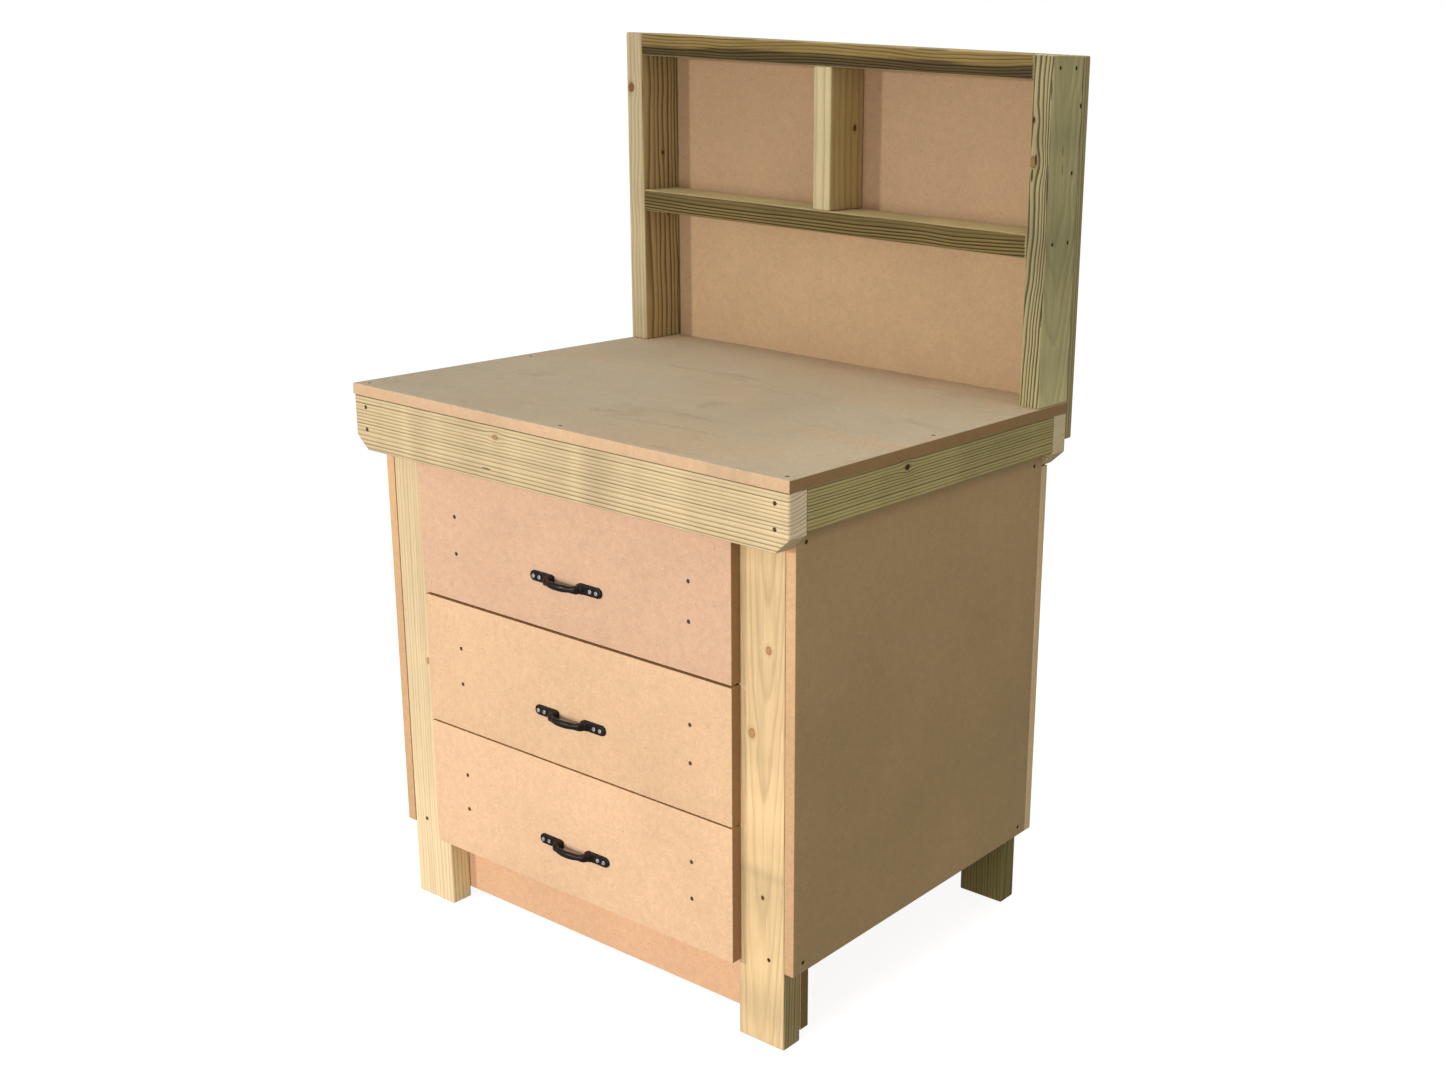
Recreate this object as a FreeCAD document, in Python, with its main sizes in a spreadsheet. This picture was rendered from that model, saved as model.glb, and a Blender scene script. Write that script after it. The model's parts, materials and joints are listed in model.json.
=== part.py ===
import FreeCAD, Part
import os
import re
import Sketcher

# A free-standing timber and MDF potting bench: a framed cupboard carcass with
# three drawers, an MDF worktop and a shelf unit standing on its back edge.
#
# The bench is laid out from the middle of the worktop's front edge at floor
# level: x to the right, y towards the back, z up.  The finished parts are
# shifted along y so that the origin lies under the middle of the whole object.

doc = FreeCAD.newDocument("potting_bench")

# ---------------------------------------------------------------- dimensions
DIMENSIONS = {
    # overall
    "worktop_width": 910.0,
    "worktop_depth": 699.0,
    "worktop_height": 900.0,
    "total_height": 1450.0,
    "overhang": 1.0,
    # stock
    "mdf": 18.0,
    "drawer_base": 6.0,
    "timber_thin": 38.0,
    "timber_wide": 89.0,
    "timber_middle": 63.0,
    "batten_thickness": 19.0,
    "eased_edge": 3.0,
    "rail_clip_height": 23.0,
    "rail_clip_length": 25.0,
    # cladding
    "panel_bottom": 131.0,
    "kick_bottom": 18.0,
    "kick_top": 157.0,
    # shelf unit
    "shelf_bottom": 1138.0,
    "back_panel_bottom": 836.0,
    # drawers
    "drawer_front_gap": 1.0,
    "drawer_front_width": 664.0,
    "bottom_front_low": 128.0,
    "bottom_front_height": 219.5,
    "middle_front_low": 350.5,
    "middle_front_height": 217.5,
    "top_front_low": 572.5,
    "top_front_height": 215.0,
    "drawer_box_height": 150.0,
    "drawer_box_length": 600.0,
    "base_groove_depth": 6.0,
    "base_groove_height": 12.0,
    # drawer slides
    "slide_width": 12.7,
    "slide_height": 45.0,
    "slide_steel": 1.2,
    "slide_setback": 2.0,
    "slide_outer_reach": 9.6,
    "slide_middle_start": 2.0,
    "slide_middle_reach": 8.9,
    "slide_middle_height": 37.2,
    "slide_inner_reach": 8.3,
    "slide_inner_height": 31.0,
    # bow handle
    "handle_length": 153.0,
    "handle_drop": 25.5,
    "plate_length": 40.0,
    "plate_width": 17.0,
    "plate_thickness": 4.0,
    "grip_diameter": 9.0,
    "grip_standoff": 20.0,
    "grip_crown": 74.0,
    "grip_corner": 9.0,
    "foot_spacing": 67.0,
    # screws
    "screw_head": 8.0,
    "screw_shank": 4.0,
    "screw_sink": 2.5,
    "pan_head": 7.0,
    "pan_height": 2.0,
    "pan_shank": 3.5,
    "pan_length": 18.0,
}

sheet = doc.addObject("Spreadsheet::Sheet", "Dimensions")
for row, (alias, number) in enumerate(DIMENSIONS.items(), start=1):
    sheet.set(f"A{row}", alias)
    sheet.set(f"B{row}", str(number))
    sheet.setAlias(f"B{row}", alias)
doc.recompute()


def cells(expression):
    """Point every dimension named in an expression at its spreadsheet cell."""

    def reference(match):
        word = match.group(0)
        return "Dimensions." + word if word in DIMENSIONS else word

    return re.sub(r"[a-z][a-z_]*", reference, expression)


def size(alias):
    """The plain number that a spreadsheet cell holds."""
    return float(sheet.get(alias))


# ------------------------------------------------- positions, as expressions
WORKTOP_UNDERSIDE = "(worktop_height - mdf)"
RAIL_HALF = "(worktop_width / 2 - overhang)"
FRONT_RAIL_BACK = "(overhang + timber_thin)"
BACK_RAIL_FRONT = "(worktop_depth - timber_thin)"
LEG_OUTER = "(worktop_width / 2 - overhang - timber_thin)"
LEG_INNER = "(worktop_width / 2 - overhang - timber_thin - timber_wide)"
RAIL_BOTTOM = "(worktop_height - mdf - timber_wide)"
SIDE_RAIL_BOTTOM = "(worktop_height - mdf - timber_middle)"
UNIT_BACK = "worktop_depth"
UNIT_FRONT = "(worktop_depth - timber_wide)"
DRAWER_FACE = "(overhang + timber_thin - drawer_front_gap - mdf)"
HANDLE_FACE = "(overhang + timber_thin - drawer_front_gap - mdf - grip_standoff - grip_diameter / 2)"
REAR_FACE = "(worktop_depth + batten_thickness)"
CENTRE = f"(({HANDLE_FACE} + {REAR_FACE}) / 2)"

LEG_FRONT_Y = size("overhang") + size("timber_thin")
CENTRE_Y = (
    LEG_FRONT_Y - size("drawer_front_gap") - size("mdf")
    - size("grip_standoff") - size("grip_diameter") / 2
    + size("worktop_depth") + size("batten_thickness")
) / 2

finished = {}


def place(piece, low):
    """Bind a piece's low corner, given in bench coordinates, to the sheet."""
    x, y, z = low
    piece.setExpression("Placement.Base.x", cells(x))
    piece.setExpression("Placement.Base.y", cells(f"{y} - {CENTRE}"))
    piece.setExpression("Placement.Base.z", cells(z))


def finish(piece, label):
    """Name a finished sub-part; the label is also its file's name."""
    piece.Label = label
    finished[label] = piece
    return piece


# ------------------------------------------------------------ piece builders
def board(name, low, extent):
    """A square-edged MDF board: a box with every size bound to the sheet."""
    box = doc.addObject("Part::Box", name)
    box.setExpression("Length", cells(extent[0]))
    box.setExpression("Width", cells(extent[1]))
    box.setExpression("Height", cells(extent[2]))
    place(box, low)
    return box


def sketch_on(body, plane_role, name):
    """A sketch attached to one of the body's own origin planes."""
    sketch = body.newObject("Sketcher::SketchObject", name)
    plane = next(f for f in body.Origin.OriginFeatures if f.Role == plane_role)
    sketch.AttachmentSupport = [(plane, "")]
    sketch.MapMode = "FlatFace"
    return sketch


def closed_outline(sketch, points):
    """Lines through the points, joined end to end; returns their indices."""
    corners = [FreeCAD.Vector(x, y, 0) for x, y in points]
    following = corners[1:] + corners[:1]
    lines = [sketch.addGeometry(Part.LineSegment(a, b), False) for a, b in zip(corners, following)]
    for line, successor in zip(lines, lines[1:] + lines[:1]):
        sketch.addConstraint(Sketcher.Constraint("Coincident", line, 2, successor, 1))
    return lines


def rectangle(sketch, across, up):
    """A rectangle from the sketch's origin, with both sides bound to the sheet."""
    bottom, right, top, left = closed_outline(sketch, [(0, 0), (50, 0), (50, 50), (0, 50)])
    for line in (bottom, top):
        sketch.addConstraint(Sketcher.Constraint("Horizontal", line))
    for line in (right, left):
        sketch.addConstraint(Sketcher.Constraint("Vertical", line))
    sketch.addConstraint(Sketcher.Constraint("Coincident", bottom, 1, -1, 1))
    width = sketch.addConstraint(Sketcher.Constraint("DistanceX", bottom, 1, bottom, 2, 50))
    height = sketch.addConstraint(Sketcher.Constraint("DistanceY", right, 1, right, 2, 50))
    sketch.setExpression(f"Constraints[{width}]", cells(across))
    sketch.setExpression(f"Constraints[{height}]", cells(up))


# The pad always rises along the body's own z; these turns lay it along the
# bench's axes and keep the low corner of the section the low corner.
GRAIN = {
    "x": FreeCAD.Rotation(FreeCAD.Vector(1, 1, 1), 120),
    "y": FreeCAD.Rotation(FreeCAD.Vector(1, 1, 1), 240),
    "z": FreeCAD.Rotation(),
}


def timber(name, grain, section, length, low):
    """A sawn length of timber with eased long edges, grain along one axis.

    section gives the two sizes across the grain in cyclic order: (x, y) for
    grain z, (y, z) for grain x and (z, x) for grain y.
    """
    body = doc.addObject("PartDesign::Body", name)
    outline = sketch_on(body, "XY_Plane", name + "_section")
    rectangle(outline, *section)
    pad = body.newObject("PartDesign::Pad", name + "_length")
    pad.Profile = outline
    pad.setExpression("Length", cells(length))
    doc.recompute()
    long_edges = [
        f"Edge{index}"
        for index, edge in enumerate(pad.Shape.Edges, start=1)
        if abs(edge.tangentAt(edge.FirstParameter).z) > 0.99
    ]
    eased = body.newObject("PartDesign::Fillet", name + "_eased")
    eased.Base = (pad, long_edges)
    eased.setExpression("Radius", cells("eased_edge"))
    body.Tip = eased
    body.Placement = FreeCAD.Placement(FreeCAD.Vector(), GRAIN[grain])
    place(body, low)
    return body


def clip_lower_corners(rail, length):
    """Saw the two lower corners off a rail whose grain runs along x."""
    full = size("worktop_width") - 2 * size("overhang")
    doc.recompute()
    before = rail.Shape.Volume
    outline = sketch_on(rail, "YZ_Plane", rail.Name + "_clips")
    near = closed_outline(outline, [(0, 0), (20, 0), (0, 20)])
    far = closed_outline(outline, [(0, full), (0, full - 20), (20, full)])
    for triangle, foot, lean in ((near, near[0], near[2]), (far, far[2], far[0])):
        outline.addConstraint(Sketcher.Constraint("Horizontal", foot))
        outline.addConstraint(Sketcher.Constraint("Vertical", lean))
    outline.addConstraint(Sketcher.Constraint("Coincident", near[0], 1, -1, 1))
    outline.addConstraint(Sketcher.Constraint("PointOnObject", far[0], 1, -2))
    bound = (
        (Sketcher.Constraint("DistanceX", near[0], 1, near[0], 2, 20), "rail_clip_height"),
        (Sketcher.Constraint("DistanceY", near[2], 2, near[2], 1, 20), "rail_clip_length"),
        (Sketcher.Constraint("DistanceX", far[2], 2, far[2], 1, 20), "rail_clip_height"),
        (Sketcher.Constraint("DistanceY", far[0], 2, far[0], 1, 20), "rail_clip_length"),
        (Sketcher.Constraint("DistanceY", near[0], 1, far[0], 1, full), length),
    )
    for constraint, expression in bound:
        index = outline.addConstraint(constraint)
        outline.setExpression(f"Constraints[{index}]", cells(expression))
    pocket = rail.newObject("PartDesign::Pocket", rail.Name + "_clipped")
    pocket.Profile = outline
    pocket.Type = "ThroughAll"
    pocket.Reversed = True
    rail.Tip = pocket
    doc.recompute()
    expected = size("rail_clip_height") * size("rail_clip_length") * size("timber_thin")
    removed = before - rail.Shape.Volume
    if abs(removed - expected) > 0.02 * expected:
        raise ValueError(f"{rail.Name}: the clips removed {removed:.0f} mm3, not {expected:.0f}")


# --------------------------------------------------------------------- frame
blanks = {}
RAIL_LENGTH = "(worktop_width - 2 * overhang)"
for side, low_x in (("left", f"-{LEG_OUTER}"), ("right", LEG_INNER)):
    blanks["front_leg_" + side] = timber(
        "front_leg_" + side, "z", ("timber_wide", "timber_thin"), WORKTOP_UNDERSIDE,
        (low_x, FRONT_RAIL_BACK, "0"),
    )
    blanks["rear_leg_" + side] = timber(
        "rear_leg_" + side, "z", ("timber_wide", "timber_thin"), WORKTOP_UNDERSIDE,
        (low_x, f"{BACK_RAIL_FRONT} - timber_thin", "0"),
    )

for name, low_y in (("front_rail", "overhang"), ("back_rail", BACK_RAIL_FRONT)):
    blanks[name] = timber(
        name, "x", ("timber_thin", "timber_wide"), RAIL_LENGTH,
        (f"-{RAIL_HALF}", low_y, RAIL_BOTTOM),
    )
    clip_lower_corners(blanks[name], RAIL_LENGTH)

for side, low_x in (("left", f"-{RAIL_HALF}"), ("right", LEG_OUTER)):
    blanks["side_rail_" + side] = timber(
        "side_rail_" + side, "y", ("timber_middle", "timber_thin"),
        f"{BACK_RAIL_FRONT} - {FRONT_RAIL_BACK}",
        (low_x, FRONT_RAIL_BACK, SIDE_RAIL_BOTTOM),
    )

# ------------------------------------------------------ worktop and cladding
# The worktop overhangs the rails at the front and ends. At the back it stops
# flush with them, where the battens and the back panel pass behind it.
blanks["worktop"] = board(
    "worktop", ("-worktop_width / 2", "0", WORKTOP_UNDERSIDE), ("worktop_width", "worktop_depth", "mdf")
)
for side, low_x in (("left", f"-{LEG_OUTER} - mdf"), ("right", LEG_OUTER)):
    blanks["side_panel_" + side] = board(
        "side_panel_" + side,
        (low_x, FRONT_RAIL_BACK, "panel_bottom"),
        ("mdf", f"{BACK_RAIL_FRONT} - {FRONT_RAIL_BACK}", f"{SIDE_RAIL_BOTTOM} - panel_bottom"),
    )
blanks["cabinet_back_panel"] = board(
    "cabinet_back_panel",
    (f"-{LEG_OUTER} - mdf", BACK_RAIL_FRONT, "panel_bottom"),
    (f"2 * ({LEG_OUTER} + mdf)", "mdf", f"{RAIL_BOTTOM} - panel_bottom"),
)
blanks["kick_board"] = board(
    "kick_board",
    (f"-{LEG_OUTER}", f"{FRONT_RAIL_BACK} + timber_thin", "kick_bottom"),
    (f"2 * {LEG_OUTER}", "mdf", "kick_top - kick_bottom"),
)

# ---------------------------------------------------------------- shelf unit
UNIT_HEIGHT = "(total_height - worktop_height)"
for side, low_x in (("left", f"-{RAIL_HALF}"), ("right", LEG_OUTER)):
    blanks["upright_" + side] = timber(
        "upright_" + side, "z", ("timber_thin", "timber_wide"), UNIT_HEIGHT,
        (low_x, UNIT_FRONT, "worktop_height"),
    )
    blanks["back_batten_" + side] = timber(
        "back_batten_" + side, "z", ("timber_thin", "batten_thickness"),
        "total_height - back_panel_bottom", (low_x, UNIT_BACK, "back_panel_bottom"),
    )
for name, low_z in (("top_rail", "total_height - timber_thin"), ("shelf", "shelf_bottom")):
    blanks[name] = timber(
        name, "x", ("timber_wide", "timber_thin"), f"2 * {LEG_OUTER}",
        (f"-{LEG_OUTER}", UNIT_FRONT, low_z),
    )
blanks["shelf_divider"] = timber(
    "shelf_divider", "z", ("timber_thin", "timber_wide"),
    "total_height - 2 * timber_thin - shelf_bottom",
    ("-timber_thin / 2", UNIT_FRONT, "shelf_bottom + timber_thin"),
)
blanks["shelf_back_panel"] = board(
    "shelf_back_panel",
    (f"-{LEG_OUTER}", UNIT_BACK, "back_panel_bottom"),
    (f"2 * {LEG_OUTER}", "mdf", "total_height - back_panel_bottom"),
)

# ------------------------------------------------------------------- drawers
BOX_HALF = f"({LEG_INNER} - slide_width)"
DRAWERS = ("bottom", "middle", "top")


def front_middle(drawer):
    """Height of the middle of a drawer's front."""
    return f"({drawer}_front_low + {drawer}_front_height / 2)"


def grooved(blank, groove):
    """A drawer board with the groove that holds the base cut along it."""
    cut = doc.addObject("Part::Cut", blank.Name + "_grooved")
    cut.Base = blank
    cut.Tool = groove
    return cut


for drawer in DRAWERS:
    box_z = f"({front_middle(drawer)} - drawer_box_height / 2)"
    groove_z = f"({box_z} + base_groove_height)"
    base_low = (
        f"-{BOX_HALF} + mdf - base_groove_depth",
        f"{DRAWER_FACE} + 2 * mdf - base_groove_depth",
        groove_z,
    )
    base_extent = (
        f"2 * ({BOX_HALF} - mdf + base_groove_depth)",
        "drawer_box_length - mdf + base_groove_depth",
        "drawer_base",
    )
    blanks[drawer + "_drawer_front"] = board(
        drawer + "_drawer_front",
        ("-drawer_front_width / 2", DRAWER_FACE, f"{drawer}_front_low"),
        ("drawer_front_width", "mdf", f"{drawer}_front_height"),
    )
    base = board(drawer + "_drawer_base", base_low, base_extent)
    blanks[drawer + "_drawer_base"] = base
    for side, low_x in (("left", f"-{BOX_HALF}"), ("right", f"{BOX_HALF} - mdf")):
        name = f"{drawer}_drawer_side_{side}"
        blank = board(
            name + "_blank", (low_x, f"{DRAWER_FACE} + mdf", box_z),
            ("mdf", "drawer_box_length", "drawer_box_height"),
        )
        blanks[name] = grooved(blank, base)
    inner = board(
        drawer + "_drawer_inner_front_blank",
        (f"-{BOX_HALF} + mdf", f"{DRAWER_FACE} + mdf", box_z),
        (f"2 * ({BOX_HALF} - mdf)", "mdf", "drawer_box_height"),
    )
    blanks[drawer + "_drawer_inner_front"] = grooved(inner, base)
    blanks[drawer + "_drawer_back"] = board(
        drawer + "_drawer_back",
        (
            f"-{BOX_HALF} + mdf",
            f"{DRAWER_FACE} + drawer_box_length",
            f"{groove_z} + drawer_base",
        ),
        (
            f"2 * ({BOX_HALF} - mdf)",
            "mdf",
            "drawer_box_height - base_groove_height - drawer_base",
        ),
    )


# ------------------------------------------------------------- drawer slides
def channel(name, low, extent, open_towards_middle):
    """A right-hand rolled channel: a solid bar with its trough cut out."""
    reach, length, height = extent
    bar = board(name + "_bar", low, extent)
    trough_x = low[0] if open_towards_middle else f"{low[0]} + slide_steel"
    trough = board(
        name + "_trough",
        (trough_x, low[1], f"{low[2]} + slide_steel"),
        (f"{reach} - slide_steel", length, f"{height} - 2 * slide_steel"),
    )
    cut = doc.addObject("Part::Cut", name + "_right")
    cut.Base = bar
    cut.Tool = trough
    return cut


def slide_pair(name, member, centre_z):
    """The same member of both slides of a drawer, left one mirrored."""
    low_x, reach, height, open_towards_middle = member
    low = (low_x, f"{FRONT_RAIL_BACK} + slide_setback", f"{centre_z} - {height} / 2")
    right = channel(name, low, (reach, "drawer_box_length", height), open_towards_middle)
    left = doc.addObject("Part::Mirroring", name + "_left")
    left.Source = right
    left.Normal = (1, 0, 0)
    pair = doc.addObject("Part::Compound", name)
    pair.Links = [left, right]
    return pair


SLIDE_MEMBERS = {
    "slide_outer": (f"{LEG_INNER} - slide_outer_reach", "slide_outer_reach", "slide_height", True),
    "slide_middle": (
        f"{LEG_INNER} - slide_middle_start - slide_middle_reach",
        "slide_middle_reach", "slide_middle_height", True,
    ),
    "slide_inner": (BOX_HALF, "slide_inner_reach", "slide_inner_height", False),
}
for drawer in DRAWERS:
    middle_z = front_middle(drawer)
    for member, shape in SLIDE_MEMBERS.items():
        name = f"{drawer}_{member}s"
        finish(slide_pair(name, shape, middle_z), name)


# ------------------------------------------------------------------- handles
DEGREE = Part.Circle().LastParameter / 360


def end_plate(body, name, sign):
    """One screw-down plate of the bow handle, its outer end fully rounded."""
    sketch = sketch_on(body, "XZ_Plane", name)
    inner = sign * (size("handle_length") / 2 - size("plate_length"))
    radius = size("plate_width") / 2
    centre = sign * (size("handle_length") / 2 - radius)
    turn = 0 if sign > 0 else 180
    arc = Part.ArcOfCircle(
        Part.Circle(FreeCAD.Vector(centre, 0, 0), FreeCAD.Vector(0, 0, 1), radius),
        (turn - 90) * DEGREE, (turn + 90) * DEGREE,
    )
    cap = sketch.addGeometry(arc, False)
    low_end, high_end = (1, 2) if sign > 0 else (2, 1)
    corners = [FreeCAD.Vector(x, y, 0) for x, y in (
        (centre, radius), (inner, radius), (inner, -radius), (centre, -radius),
    )]
    upper, butt, lower = [
        sketch.addGeometry(Part.LineSegment(a, b), False) for a, b in zip(corners, corners[1:])
    ]
    for constraint in (
        Sketcher.Constraint("Tangent", cap, high_end, upper, 1),
        Sketcher.Constraint("Coincident", upper, 2, butt, 1),
        Sketcher.Constraint("Coincident", butt, 2, lower, 1),
        Sketcher.Constraint("Tangent", lower, 2, cap, low_end),
        Sketcher.Constraint("Vertical", butt),
        Sketcher.Constraint("Horizontal", upper),
        Sketcher.Constraint("PointOnObject", cap, 3, -1),
    ):
        sketch.addConstraint(constraint)
    bound = (
        (Sketcher.Constraint("Radius", cap, radius), "plate_width / 2"),
        (
            Sketcher.Constraint("DistanceX", -1, 1, cap, 3, centre),
            f"{sign} * (handle_length - plate_width) / 2",
        ),
        (
            Sketcher.Constraint("DistanceX", -1, 1, butt, 1, inner),
            f"{sign} * (handle_length / 2 - plate_length)",
        ),
    )
    for constraint, expression in bound:
        index = sketch.addConstraint(constraint)
        sketch.setExpression(f"Constraints[{index}]", cells(expression))
    pad = body.newObject("PartDesign::Pad", name + "_thickness")
    pad.Profile = sketch
    pad.setExpression("Length", cells("plate_thickness"))
    return pad


def bow_path(body, name):
    """Foot, corner, crowned grip, corner, foot, seen from above."""
    sketch = sketch_on(body, "XY_Plane", name)
    foot = size("foot_spacing") / 2
    corner = size("grip_corner")
    crown = size("grip_crown")
    crown_y = crown - size("grip_standoff")
    corner_x = foot - corner
    corner_y = crown_y - ((crown - corner) ** 2 - corner_x ** 2) ** 0.5
    up = FreeCAD.Vector(0, 0, 1)
    lean = FreeCAD.Vector(corner_x, corner_y - crown_y, 0).getAngle(FreeCAD.Vector(1, 0, 0))
    half_turn = 180 * DEGREE
    right_corner = Part.ArcOfCircle(
        Part.Circle(FreeCAD.Vector(corner_x, corner_y, 0), up, corner), -lean, 0
    )
    left_corner = Part.ArcOfCircle(
        Part.Circle(FreeCAD.Vector(-corner_x, corner_y, 0), up, corner), -half_turn, lean - half_turn
    )
    grip = Part.ArcOfCircle(
        Part.Circle(FreeCAD.Vector(0, crown_y, 0), up, crown), lean - half_turn, -lean
    )
    left_foot = Part.LineSegment(FreeCAD.Vector(-foot, 0, 0), FreeCAD.Vector(-foot, corner_y, 0))
    right_foot = Part.LineSegment(FreeCAD.Vector(foot, corner_y, 0), FreeCAD.Vector(foot, 0, 0))
    first, second, third, fourth, fifth = [
        sketch.addGeometry(piece, False)
        for piece in (left_foot, left_corner, grip, right_corner, right_foot)
    ]
    for constraint in (
        Sketcher.Constraint("PointOnObject", first, 1, -1),
        Sketcher.Constraint("PointOnObject", fifth, 2, -1),
        Sketcher.Constraint("Vertical", first),
        Sketcher.Constraint("Vertical", fifth),
        Sketcher.Constraint("Tangent", first, 2, second, 1),
        Sketcher.Constraint("Tangent", second, 2, third, 1),
        Sketcher.Constraint("Tangent", third, 2, fourth, 1),
        Sketcher.Constraint("Tangent", fourth, 2, fifth, 1),
        Sketcher.Constraint("PointOnObject", third, 3, -2),
        Sketcher.Constraint("Equal", second, fourth),
    ):
        sketch.addConstraint(constraint)
    bound = (
        (Sketcher.Constraint("DistanceX", first, 1, -1, 1, foot), "foot_spacing / 2"),
        (Sketcher.Constraint("DistanceX", -1, 1, fifth, 2, foot), "foot_spacing / 2"),
        (Sketcher.Constraint("Radius", second, corner), "grip_corner"),
        (Sketcher.Constraint("Radius", third, crown), "grip_crown"),
        (Sketcher.Constraint("DistanceY", -1, 1, third, 3, crown_y), "grip_crown - grip_standoff"),
    )
    for constraint, expression in bound:
        index = sketch.addConstraint(constraint)
        sketch.setExpression(f"Constraints[{index}]", cells(expression))
    return sketch


def bow_handle(name, low):
    """A cast bow handle: two plates joined by a round grip."""
    body = doc.addObject("PartDesign::Body", name)
    end_plate(body, name + "_left_plate", -1)
    end_plate(body, name + "_right_plate", 1)
    path = bow_path(body, name + "_path")
    section = sketch_on(body, "XZ_Plane", name + "_section")
    foot = size("foot_spacing") / 2
    circle = section.addGeometry(
        Part.Circle(FreeCAD.Vector(-foot, 0, 0), FreeCAD.Vector(0, 0, 1), 4), False
    )
    section.addConstraint(Sketcher.Constraint("PointOnObject", circle, 3, -1))
    for constraint, expression in (
        (Sketcher.Constraint("DistanceX", circle, 3, -1, 1, foot), "foot_spacing / 2"),
        (Sketcher.Constraint("Radius", circle, 4), "grip_diameter / 2"),
    ):
        index = section.addConstraint(constraint)
        section.setExpression(f"Constraints[{index}]", cells(expression))
    doc.recompute()
    grip = body.newObject("PartDesign::AdditivePipe", name + "_grip")
    grip.Profile = section
    grip.Spine = (path, [f"Edge{index}" for index in range(1, 6)])
    body.Tip = grip
    place(body, low)
    return body


for drawer in DRAWERS:
    name = drawer + "_drawer_handle"
    blanks[name] = bow_handle(name, ("0", DRAWER_FACE, f"{front_middle(drawer)} - handle_drop"))

doc.recompute()


# -------------------------------------------------------------------- screws
def countersunk_screw(length):
    """A countersunk wood screw, head flush at the origin, running along -z."""
    head = size("screw_head") / 2
    shank = size("screw_shank") / 2
    sink = size("screw_sink")
    cone = Part.makeCone(shank, head, sink, FreeCAD.Vector(0, 0, -sink))
    rod = Part.makeCylinder(shank, length - sink, FreeCAD.Vector(0, 0, -length))
    return rod.fuse(cone).removeSplitter()


def pan_head_screw():
    """A pan-head screw whose head stands on the origin's plane."""
    head = size("pan_head") / 2
    shank = size("pan_shank") / 2
    cap = Part.makeCone(head, head * 0.6, size("pan_height"))
    length = size("pan_length")
    rod = Part.makeCylinder(shank, length, FreeCAD.Vector(0, 0, -length))
    return rod.fuse(cap).removeSplitter()


FACING = {
    "front": FreeCAD.Vector(0, -1, 0),
    "back": FreeCAD.Vector(0, 1, 0),
    "left": FreeCAD.Vector(-1, 0, 0),
    "right": FreeCAD.Vector(1, 0, 0),
    "up": FreeCAD.Vector(0, 0, 1),
    "down": FreeCAD.Vector(0, 0, -1),
}


def screw_group(name, screws):
    """One node of identical screws: (screw, facing, x, y, z) in bench places."""
    solids = []
    for screw, facing, x, y, z in screws:
        solid = screw.copy()
        turn = FreeCAD.Rotation(FreeCAD.Vector(0, 0, 1), FACING[facing])
        solid.Placement = FreeCAD.Placement(FreeCAD.Vector(x, y, z), turn)
        solids.append(solid)
    group = doc.addObject("Part::Feature", name)
    group.Shape = Part.makeCompound(solids)
    group.Placement = FreeCAD.Placement(FreeCAD.Vector(0, -CENTRE_Y, 0), FreeCAD.Rotation())
    return finish(group, name)


half_width = size("worktop_width") / 2
rail_end = half_width - size("overhang")
leg_outer = rail_end - size("timber_thin")
leg_middle = leg_outer - size("timber_wide") / 2
side_rail_x = rail_end - size("timber_thin") / 2
back_rail_y = size("worktop_depth")
panel_face = leg_outer + size("mdf")
cabinet_back = back_rail_y - size("timber_thin") + size("mdf")
worktop_top = size("worktop_height")
unit_top = size("total_height")

FRAME_SCREW = countersunk_screw(80)
LEG_SCREW = countersunk_screw(50)
PANEL_SCREW = countersunk_screw(40)
FRONT_SCREW = countersunk_screw(32)
HANDLE_SCREW = pan_head_screw()
SIDES = {"left": -1, "right": 1}

# Heights of the screws above the floor, and their places along x and y.
RAIL_SCREW_HEIGHTS = (864, 827.5)
RAIL_SCREW_X = 428
KICK_SCREW_X = 386
KICK_SCREW_HEIGHT = 144
WORKTOP_SCREW_X = 436
WORKTOP_FRONT_ROW = 18
WORKTOP_MIDDLE_ROW = 349
PANEL_SCREW_Y = (61, 639)
PANEL_SCREW_HEIGHTS = (147, 798)
CABINET_BACK_HEIGHTS = (160, 460, 765)
UNIT_SCREW_Y = (630, 676)
UNIT_SCREW_HEIGHTS = (1431, 1162)
DIVIDER_SCREW_Y = (632, 674)
BATTEN_SCREW_HEIGHTS = (856, 1000, 1200, 1400)
BACK_PANEL_SCREW_X = (-300, -100, 100, 300)
BACK_PANEL_SCREW_HEIGHTS = (857, 1157, 1431)
DRAWER_SCREW_X = 250
DRAWER_SCREW_RISE = (-29, 32)
HANDLE_SCREW_INSET = (9, 22)

rail_screws = [
    (FRAME_SCREW, facing, sign * RAIL_SCREW_X, y, z)
    for sign in SIDES.values()
    for facing, y in (("front", size("overhang")), ("back", back_rail_y))
    for z in RAIL_SCREW_HEIGHTS
]
kick_screws = [
    (LEG_SCREW, "front", sign * KICK_SCREW_X, LEG_FRONT_Y, KICK_SCREW_HEIGHT)
    for sign in SIDES.values()
]
worktop_screws = [(LEG_SCREW, "up", 0, WORKTOP_FRONT_ROW, worktop_top)] + [
    (LEG_SCREW, "up", sign * WORKTOP_SCREW_X, y, worktop_top)
    for sign in SIDES.values()
    for y in (WORKTOP_FRONT_ROW, WORKTOP_MIDDLE_ROW)
]
panel_screws = [
    (PANEL_SCREW, side, sign * panel_face, y, z)
    for side, sign in SIDES.items()
    for y in PANEL_SCREW_Y
    for z in PANEL_SCREW_HEIGHTS
]
cabinet_back_screws = [
    (PANEL_SCREW, "back", sign * leg_middle, cabinet_back, z)
    for sign in SIDES.values()
    for z in CABINET_BACK_HEIGHTS
]
unit_side_screws = [
    (FRAME_SCREW, side, sign * rail_end, y, z)
    for side, sign in SIDES.items()
    for y in UNIT_SCREW_Y
    for z in UNIT_SCREW_HEIGHTS
]
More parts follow.
